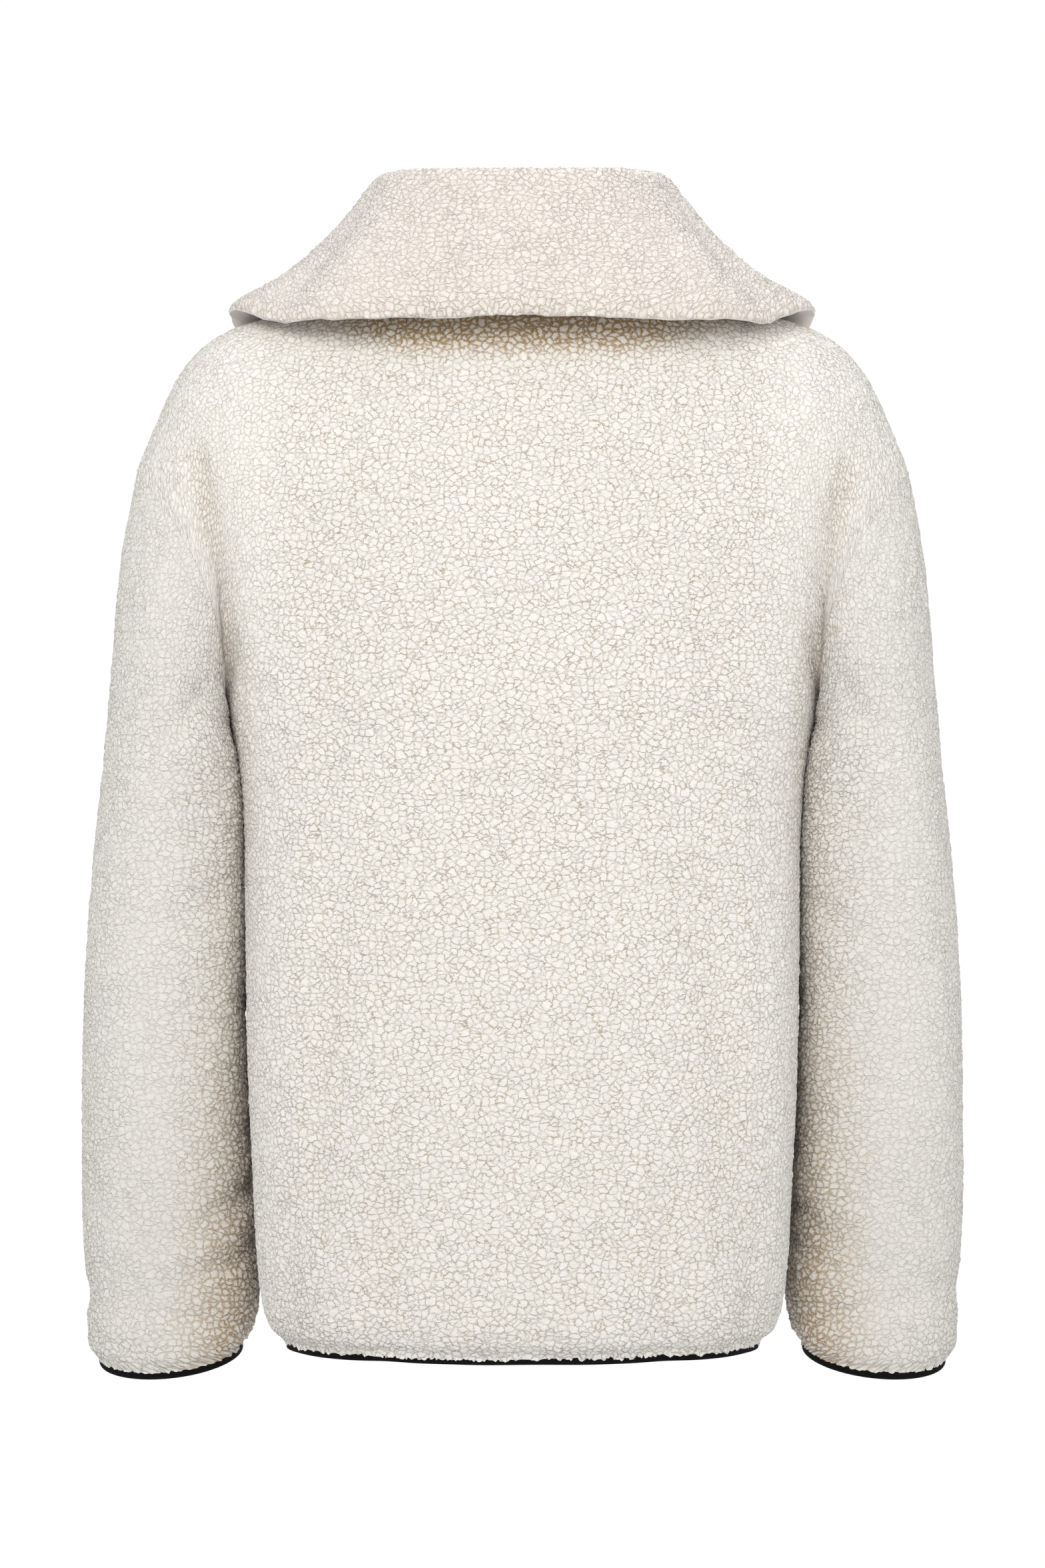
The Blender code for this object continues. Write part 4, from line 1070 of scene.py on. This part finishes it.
def flat_cloth(grid, centre, piece_number, wrap=False):
    """Each point's place on the flat cloth: the length along its row from the centre column, and the
    length up its column, drawn out so that clumps are a little wider than they are tall."""
    across = run_across(grid)
    if wrap:
        girth = (across[:, -1] + np.linalg.norm(grid[:, 0] - grid[:, -1], axis=-1))[:, None]
        across = np.where(across > girth / 2, across - girth, across)
    across = across - across[:, centre:centre + 1]
    return stack(across, run_length(grid) * CLUMP_FLATNESS, 100.0 * piece_number)


def finish_panel(name, node, outer, inner, cloth, normals, marks, finish, relief, wrap=False):
    """Makes a fleece piece of its faces and gives it its relief. Its marks are the pile's height, how
    far its cracks and its painted warm shade show, and its brightness of painted light and shade, each
    a share."""
    mesh = shell(name, outer, inner, cloth, normals, marks, wrap)
    piece = add_piece(name, mesh, finish, node=(node,))
    change = piece.modifiers.new("pile", "NODES")
    change.node_group = relief
    return piece


def body_marks(grid, depth, seam):
    """A panel's marks, by places in millimetres. The cracks fade towards the side seams and the
    shoulder points. The painted shade is deepest under the collar and low in the armhole. The
    brightness is painted a little darker towards the hem and a little lighter at the sides."""
    x, z = np.abs(grid[..., 0]), grid[..., 2]
    side = between(x, 138.0, 174.0)
    foot = mix(between(x, 60.0, 135.0), -51.0, -37.0)
    under_collar = between(z, foot, foot + 22.0) * mix(between(x, 85.0, 145.0), 1.0, 0.15)
    armhole = seam * between(x, 150.0, 180.0) * between(z, -190.0, -250.0) * between(z, -340.0, -290.0)
    low_side = np.exp(-((x - 176.0) / 7.0) ** 2) * between(z, -200.0, -260.0)
    crease = np.clip(-depth / 6, 0, 1) * between(x, 176.0, 188.0)
    # Painted shade: under the collar, in the armhole's valley, low beside the side seam, in the creases
    # and a little in the fold troughs
    painted_shade = 1.05 * under_collar + 0.85 * armhole + 0.15 * low_side + 0.62 * crease
    painted_shade += 0.06 * np.clip(-depth / 5, 0, 1)
    valley = np.clip(crease + armhole, 0, 1)
    return {"pile": mix(side, 1.0, 0.9) + 0.3 * valley,
            "cracks": mix(side, 1.0, 0.6) + 0.4 * valley,
            "painted_shade": np.clip(painted_shade, 0, PAINTED_SHADE_LIMIT),
            # Brightness: painted shade makes it a little darker towards the hem, painted light a little
            # lighter at the sides
            "tone_and_painted_light": mix(between(z, -250.0, -670.0), 1.0, 0.95) * mix(side, 1.0, 1.03)}


def near_edge(count, cells):
    """A share that falls from 1 at the last place to 0 over some cells."""
    return ease(1 - np.arange(count)[::-1] / cells)


def sunk_and_swollen(outer, grid, normals, ends):
    """A panel's outer face with its seams sunk a little and its pile swollen under the arms. Also
    returns how near each column is to a side seam. Ends are the columns that are side seams."""
    rows, cols = outer.shape[:2]
    sides = near_edge(cols, SIDE_CELLS)[None]
    if "first" in ends:
        sides = np.maximum(sides, sides[:, ::-1])
    side_dip = seam_dip(cols, ends)[None] * seam_depth(grid[..., 2])
    dip = np.maximum(seam_dip(rows, ["last"])[:, None], side_dip)
    puff = BODY_PUFF * underarm_puff(grid[..., 2]) * sides
    return outer + normals * (puff - SEAM_DIP * dip)[..., None], sides


def make_body(finish, relief, random):
    """The back and the two fronts. Returns their pieces and the hem's edge rows."""
    pieces, hem, fronts = {}, {}, {}
    quarters = {face: quarter(face) for face in (1, -1)}
    directions = {face: quarter_normals(face, grid) for face, grid in quarters.items()}

    grid = np.concatenate((mirrored(quarters[1])[:, :-1], quarters[1]), axis=1)
    normals = np.concatenate((mirrored(directions[1])[:, :-1], directions[1]), axis=1)
    outer, inner = folded(grid, normals, BACK_FOLDS)
    hem["back"] = (outer[0].copy(), inner[0].copy())
    outer, sides = sunk_and_swollen(outer, grid, normals, ["first", "last"])
    crease = folds(BACK_CREASES, grid[..., 0], grid[..., 2]) * (1 - sides)
    outer += normals * crease[..., None]
    inner += normals * crease[..., None]
    for face in (outer, inner):
        for edge in ("first_column", "last_column", "last_row"):
            draw_in(face, edge)
    outer = ragged(outer, normals, DOWN, range(RAGGED_CELLS), HEM_DROP, random)
    marks = body_marks(grid, folds(BACK_FOLDS, grid[..., 0], grid[..., 2]) + crease, sides)
    cloth = flat_cloth(grid, grid.shape[1] // 2, 0)
    pieces["back"] = finish_panel("back_fleece", "back", outer, inner, cloth, normals, marks,
                                  finish, relief)

    for side, name in SIDES:
        name = "front_" + name
        flip = np.array((side, 1.0, 1.0))
        grid, normals = quarters[-1] * flip, directions[-1] * flip
        outer, inner = folded(grid, normals, FRONT_FOLDS)
        hem[name] = (outer[0].copy(), inner[0].copy())
        fronts[side] = (outer.copy(), inner.copy())
        outer, sides = sunk_and_swollen(outer, grid, normals, ["last"])
        to_zip = run_across(grid)
        thin = FLEECE * (1 - rounding(to_zip + SEAM_GAP, EDGE_ROUND))
        outer -= normals * thin[..., None]
        for face in (outer, inner):
            draw_in(face, "last_column")
            draw_in(face, "last_row")
        outer = ragged(outer, normals, DOWN, range(RAGGED_CELLS), HEM_DROP, random)
        marks = body_marks(grid, folds(FRONT_FOLDS, grid[..., 0], grid[..., 2]), sides)
        marks["pile"] = marks["pile"] * mix(ease(to_zip / 4.0), 0.3, 1.0)
        cloth = flat_cloth(grid, 0, 2 + side)
        pieces[name] = finish_panel(name + "_fleece", name, outer, inner, cloth, normals, marks,
                                    finish, relief)
    return pieces, hem, fronts


def inward_degrees(cols):
    """How far each column of a sleeve lies from its outer side, in degrees: 180 is the inner side."""
    return 180.0 - np.abs(np.linspace(0, 360.0, cols + 1)[:-1] - 180.0)[None]


def sleeve_marks(rows, cols):
    """A sleeve's marks, by degrees round it and shares of the way down. Its outside is nearly smooth.
    Towards its inner side the pile stands up and cracks, and a painted brown shade deepens, more so
    and further round on the way down to the cuff."""
    inward = inward_degrees(cols)
    down = np.linspace(0, 1, rows)[:, None]
    cuff = between(down, 0.72, 0.97)
    stand_from = mix(between(down, 0.0, 0.4), 66.0, 84.0)
    stand = between(inward, stand_from, stand_from + 46.0)
    inner_side = between(inward, 122.0, 166.0)
    # Painted shade on the side that faces the body, halved right at the inner side, with more along the
    # armhole seam
    painted_shade_from = mix(between(down, 0.3, 1.0), 112.0, 78.0)
    painted_shade = mix(between(down, 0.1, 0.9), 0.55, 1.0) * between(inward, painted_shade_from, painted_shade_from + 82.0)
    painted_shade *= mix(between(inward, 134.0, 164.0), 1.0, 0.5)
    armhole = np.exp(-(down / 0.022) ** 2) * between(inward, 75.0, 130.0)
    return {"pile": np.maximum(mix(stand, 1.05, 1.15) + 0.6 * inner_side, cuff * 1.1),
            "cracks": np.maximum(mix(stand, 0.25, 0.9), cuff * 0.6),
            "painted_shade": np.clip(painted_shade + 0.30 * armhole, 0, PAINTED_SHADE_LIMIT),
            # Brightness: painted shade makes it darker towards the cuff, painted light makes it lighter
            # on the inner side
            "tone_and_painted_light": mix(between(down, 0.0, 1.1), 0.965, 0.875) + 0.14 * inner_side}


def make_sleeves(finish, relief, random):
    """Both sleeves. Returns their pieces and the cuffs' edge rows."""
    pieces, cuffs = {}, {}
    for side, name in SIDES:
        grid, outer, inner, normals = sleeve(side)
        down = unit(outer[-1].mean(axis=0) - outer[-4].mean(axis=0))
        cuffs[name] = (outer[-1].copy(), inner[-1].copy(), down)
        rows, cols = outer.shape[:2]
        dip = seam_dip(rows, ["first"])[:, None] * seam_depth(grid[:1, :, 2])
        inward = inward_degrees(cols)
        puff = SLEEVE_PUFF * underarm_puff(grid[..., 2]) * between(inward, 130.0, 170.0)
        corner = np.exp(-((inward - 146.0) / 28.0) ** 2) * between(grid[..., 2], *CORNER_PUFF_TOP)
        puff += CORNER_PUFF * corner * ease((rows - 1 - np.arange(rows)) / CUFF_FADE_CELLS)[:, None]
        outer = outer + normals * (puff - SEAM_DIP * dip)[..., None]
        last_rows = [-1 - cell for cell in range(RAGGED_CELLS)]
        outer = ragged(outer, normals, down, last_rows, CUFF_DROP, random)
        cloth = flat_cloth(grid, 0, 6 + side, wrap=True)
        cloth[..., 1] = -grid[..., 2] * CLUMP_FLATNESS
        pieces[name] = finish_panel("sleeve_" + name + "_fleece", "sleeve_" + name, outer, inner, cloth,
                                    normals, sleeve_marks(rows, cols), finish, relief, wrap=True)
    return pieces, cuffs


def make_collar(finish, relief, random):
    """The collar, with a smoother pile."""
    grid, shown, under, normals, share = collar()
    cols = grid.shape[1]
    middle = ease(1.4 - np.abs(np.linspace(-1, 1, cols)) / 0.26)[None]
    rough = smooth_random(random, cols, 3) + 0.6 * smooth_random(random, cols, 1) + 0.2
    way = unit(grid[-1] - grid[-3])
    for cell in range(COLLAR_RAGGED_CELLS):
        push = COLLAR_RAGGED * rough * (1 - cell / COLLAR_RAGGED_CELLS) ** RAGGED_CURVE
        for face in (shown, under):
            face[-1 - cell] += push[:, None] * way
    # Painted shade: a little warm brown in the pile's depths, more at the fall's edge
    marks = {"pile": 1.2, "cracks": mix(middle, 0.25, 0.8), "tone_and_painted_light": 1.0,
             "painted_shade": 0.06 + 0.10 * between(share, 0.94, 1.0)}
    cloth = flat_cloth(grid, cols // 2, 9)
    return finish_panel("collar_fleece", "collar", shown, under, cloth, normals, marks, finish, relief)


def fold_section(half, foot):
    """Half a width out and a depth down for a folded band: a leg down, a half round, and a leg up."""
    leg = np.linspace(SEAM_GAP, foot - half, 4)[:-1]
    turn = np.linspace(0, math.pi, 11)
    out = np.concatenate((np.full(3, half), half * np.cos(turn), np.full(3, -half)))
    low = np.concatenate((leg, foot - half + half * np.sin(turn), leg[::-1]))
    return out, low


def strip(name, outer, inner, down, finish, slot, node, wrap):
    """A band folded under an edge, open at its top: its outside, and its inside a wall further in."""
    half = BINDING_THICK / 2
    outside = fold_section(half, BINDING_HEIGHT)
    inside = fold_section(half - STRIP_WALL, BINDING_HEIGHT - STRIP_WALL)
    out = np.concatenate((outside[0], inside[0][::-1]))
    low = np.concatenate((outside[1], inside[1][::-1]))
    middle = (outer + inner) / 2
    across = unit(outer - inner)
    points = middle[:, None] + across[:, None] * out[None, :, None] + (down * low[:, None])[None]
    number = np.arange(points.shape[0] * len(out)).reshape(points.shape[:2])
    if wrap:
        number = np.concatenate((number, number[:1]), axis=0)
    number = np.concatenate((number, number[:, :1]), axis=1)
    faces = grid_faces(number).tolist()
    if not wrap:
        last = len(outside[0])
        pairs = [(k, k + 1, 2 * last - 2 - k, 2 * last - 1 - k) for k in range(last - 1)]
        for end in (number[0], number[-1]):
            faces += [[int(end[k]) for k in pair] for pair in pairs]
    mesh = closed_mesh(name, points.reshape(-1, 3), faces)
    run = run_length(middle)
    store(mesh, "cloth", "FLOAT_VECTOR", stack(run[:, None], low[None], 0.0))
    return add_piece(name, mesh, finish, node=(node,)), run[-1]


def make_bindings(hem, cuffs, finish):
    """The hem's strip, from one side of the zip to the other, and one round each cuff."""
    pieces = {}
    edges = [np.concatenate((left, back[::-1][1:-1], right[::-1]))
             for left, back, right in zip(hem["front_left"], hem["back"], hem["front_right"])]
    pieces["hem"] = strip("hem_strip", *edges, DOWN, finish, "binding", "hem_binding", False)
    for name, (outer, inner, way) in cuffs.items():
        pieces[name] = strip("cuff_strip_" + name, outer, inner, way, finish, "binding",
                             "cuff_binding_" + name, True)
    return pieces


# Zip

def front_edge(fronts, side):
    """A front's edge at the zip: its inner face's first column, a later column and the way out."""
    outer, inner = fronts[side]
    return inner[:, 0], inner[:, 8], unit(outer[:, 0] - inner[:, 0])


def make_tapes(fronts, finish):
    """A tape behind each front edge, reaching the middle."""
    pieces = {}
    for side, name in SIDES:
        edge, beside, out = (values[::2] for values in front_edge(fronts, side))
        middle = edge * ON_MIDDLE + np.array((side * SEAM_GAP, 0.0, 0.0))
        far = edge + unit(beside - edge) * (TAPE_WIDTH - ZIP_GAP_HALF)
        shares = np.linspace(0, 1, 5)
        near_part = mix(shares[None, :, None], middle[:, None], edge[:, None])
        far_part = mix(shares[None, 1:, None], edge[:, None], far[:, None])
        line = np.concatenate((near_part, far_part), axis=1)
        front = line - out[:, None] * SEAM_GAP
        rear = line - out[:, None] * (SEAM_GAP + TAPE_THICK)
        ring = np.concatenate((front, rear[:, ::-1]), axis=1)
        number = np.arange(ring.shape[0] * ring.shape[1]).reshape(ring.shape[:2])
        number = np.concatenate((number, number[:, :1]), axis=1)
        faces = grid_faces(number).tolist() + [number[0, :-1].tolist(), number[-1, :-1][::-1].tolist()]
        mesh = closed_mesh("zip_tape_cloth_" + name, ring.reshape(-1, 3), faces)
        run = run_length(edge)
        across = np.concatenate((np.linspace(0, TAPE_WIDTH, 9), np.linspace(0, TAPE_WIDTH, 9)[::-1]))
        store(mesh, "cloth", "FLOAT_VECTOR", stack(run[:, None], across[None], 0.0))
        pieces[name] = add_piece("zip_tape_cloth_" + name, mesh, finish,
                                 node=("zip_tape_" + name,))
        pieces[name + "_length"] = run[-1]
    return pieces


def make_teeth(fronts, finish):
    """The closed teeth: small tapered blocks on each side in turn, along the middle of the zip."""
    edge, _, out = front_edge(fronts, 1)
    line = edge * ON_MIDDLE
    order = np.argsort(line[:, 2])
    heights = line[order, 2]
    run = run_length(line[order])
    low, high = np.interp((CHAIN_FIRST_Z, CHAIN_LAST_Z), heights, run)
    count = int((high - low) / TOOTH_PITCH)
    at = low + TOOTH_PITCH * np.arange(count)
    centre = np.stack([np.interp(at, run, line[order, k]) for k in range(3)], axis=-1)
    way_out = unit(np.stack([np.interp(at, run, out[order, k]) for k in range(3)], axis=-1))
    up = unit(np.gradient(centre, axis=0))
    side = np.where(np.arange(count) % 2 == 0, 1.0, -1.0)[:, None]
    across = np.array((1.0, 0.0, 0.0)) * side
    tip, root = TOOTH_HALF_SHARES[0] * TOOTH_PITCH, TOOTH_HALF_SHARES[1] * TOOTH_PITCH
    corners = []
    for depth, grow in ((0.05, 1.0), (CHAIN_THICK * 0.8, 1.0), (CHAIN_THICK, 0.7)):
        layer = centre + way_out * depth
        for reach, tall in ((TOOTH_TIP, tip), (CHAIN_HALF, root),
                            (CHAIN_HALF, -root), (TOOTH_TIP, -tip)):
            corners.append(layer + (across * reach + up * tall) * grow)
    points = np.stack(corners, axis=1)
    base = np.array(((0, 1, 2, 3), (0, 1, 5, 4), (1, 2, 6, 5), (2, 3, 7, 6), (3, 0, 4, 7),
                     (4, 5, 9, 8), (5, 6, 10, 9), (6, 7, 11, 10), (7, 4, 8, 11), (8, 9, 10, 11)))
    faces = (base[None] + 12 * np.arange(count)[:, None, None]).reshape(-1, 4).tolist()
    mesh = closed_mesh("zip_teeth", points.reshape(-1, 3), faces)
    mesh.set_sharp_from_angle(angle=TOOTH_SHARP_ANGLE)
    return add_piece("zip_teeth", mesh, finish, node=("zip_chain",))


# Stage

def soft_light(name, place, size, power, colour):
    """A large square lamp that faces the lit point."""
    lamp = bpy.data.lights.new(name, "AREA")
    lamp.shape = "SQUARE"
    lamp.size = size
    lamp.energy = power
    lamp.color = colour
    thing = bpy.data.objects.new(name, lamp)
    bpy.context.scene.collection.objects.link(thing)
    away = np.array(LIT_POINT) - np.array(place)
    level = math.hypot(away[0], away[1])
    thing.location = place
    thing.rotation_euler = (math.atan2(level, -away[2]), 0.0, math.atan2(-away[0], away[1]))


def make_stage():
    """A pale round floor well under the cuffs, a white surround, soft lamps and the camera."""
    turn = np.linspace(0, 2 * math.pi, 97)[:-1]
    rings = np.array(FLOOR_RINGS)[:, None]
    points = stack(rings * np.cos(turn), rings * np.sin(turn), FLOOR_Z)
    number = np.arange(points[..., 0].size).reshape(points.shape[:2])
    number = np.concatenate((number, number[:, :1]), axis=1)
    mesh = bpy.data.meshes.new("floor")
    faces = grid_faces(number).tolist() + [number[0, :-1].tolist()]
    mesh.from_pydata(points.reshape(-1, 3), [], faces)
    finish, _, shader = new_finish("pale_floor")
    set_constants(shader, {"Base Color": (0.86, 0.86, 0.86, 1.0), "Roughness": 0.9})
    mesh.materials.append(finish)
    floor = bpy.data.objects.new("floor", mesh)
    bpy.context.scene.collection.objects.link(floor)

    world = bpy.data.worlds.new("surround")
    bpy.context.scene.world = world
    world.use_nodes = True
    tree = world.node_tree
    tree.nodes.clear()
    seen = feed(tree, add_node(tree, "ShaderNodeBackground"), {"Color": (1, 1, 1, 1), "Strength": 1.0})
    lit = feed(tree, add_node(tree, "ShaderNodeBackground"),
               {"Color": (0.97, 0.98, 1.0, 1), "Strength": SURROUND_STRENGTH})
    path = add_node(tree, "ShaderNodeLightPath")
    both = add_node(tree, "ShaderNodeMixShader")
    tree.links.new(path.outputs["Is Camera Ray"], both.inputs[0])
    tree.links.new(lit.outputs[0], both.inputs[1])
    tree.links.new(seen.outputs[0], both.inputs[2])
    tree.links.new(both.outputs[0], add_node(tree, "ShaderNodeOutputWorld").inputs[0])

    for lamp in LAMPS:
        soft_light(*lamp)

    lens = bpy.data.cameras.new("camera")
    camera = bpy.data.objects.new("camera", lens)
    bpy.context.scene.collection.objects.link(camera)
    frame_height = PHOTO_HEIGHT_PX * METRES_PER_PX
    camera.location = (0.0, CAMERA_DISTANCE, (NECK_ROW - CENTRE_ROW) * METRES_PER_PX)
    camera.rotation_euler = (math.radians(90), 0.0, math.radians(180))
    lens.lens = lens.sensor_width * CAMERA_DISTANCE / frame_height
    lens.shift_y = (CENTRE_ROW - PHOTO_HEIGHT_PX / 2) / PHOTO_HEIGHT_PX
    bpy.context.scene.camera = camera
    bpy.context.scene.view_settings.view_transform = "Standard"


random = np.random.default_rng(11)
fleece = fleece_finish("cream_fleece", BODY_CLUMP, CREAM, 0.85, 0.75)
collar_fleece = fleece_finish("collar_fleece", COLLAR_CLUMP, WARM_CREAM, 0.55, 0.8)
body_relief = pile_relief("body_pile", BODY_CLUMP, 1.1)
collar_relief = pile_relief("collar_pile", COLLAR_CLUMP, 1.2)
elastic = binding_finish()
tape = tape_finish()
metal = metal_finish()

body, hem, fronts = make_body(fleece, body_relief, random)
sleeves, cuffs = make_sleeves(fleece, body_relief, random)
collar_piece = make_collar(collar_fleece, collar_relief, random)
bindings = make_bindings(hem, cuffs, elastic)
tapes = make_tapes(fronts, tape)
teeth = make_teeth(fronts, metal)
for node in ("zip_slider", "zip_pull", "zip_box"):
    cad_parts[node].data.materials.clear()
    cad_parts[node].data.materials.append(metal)

make_stage()
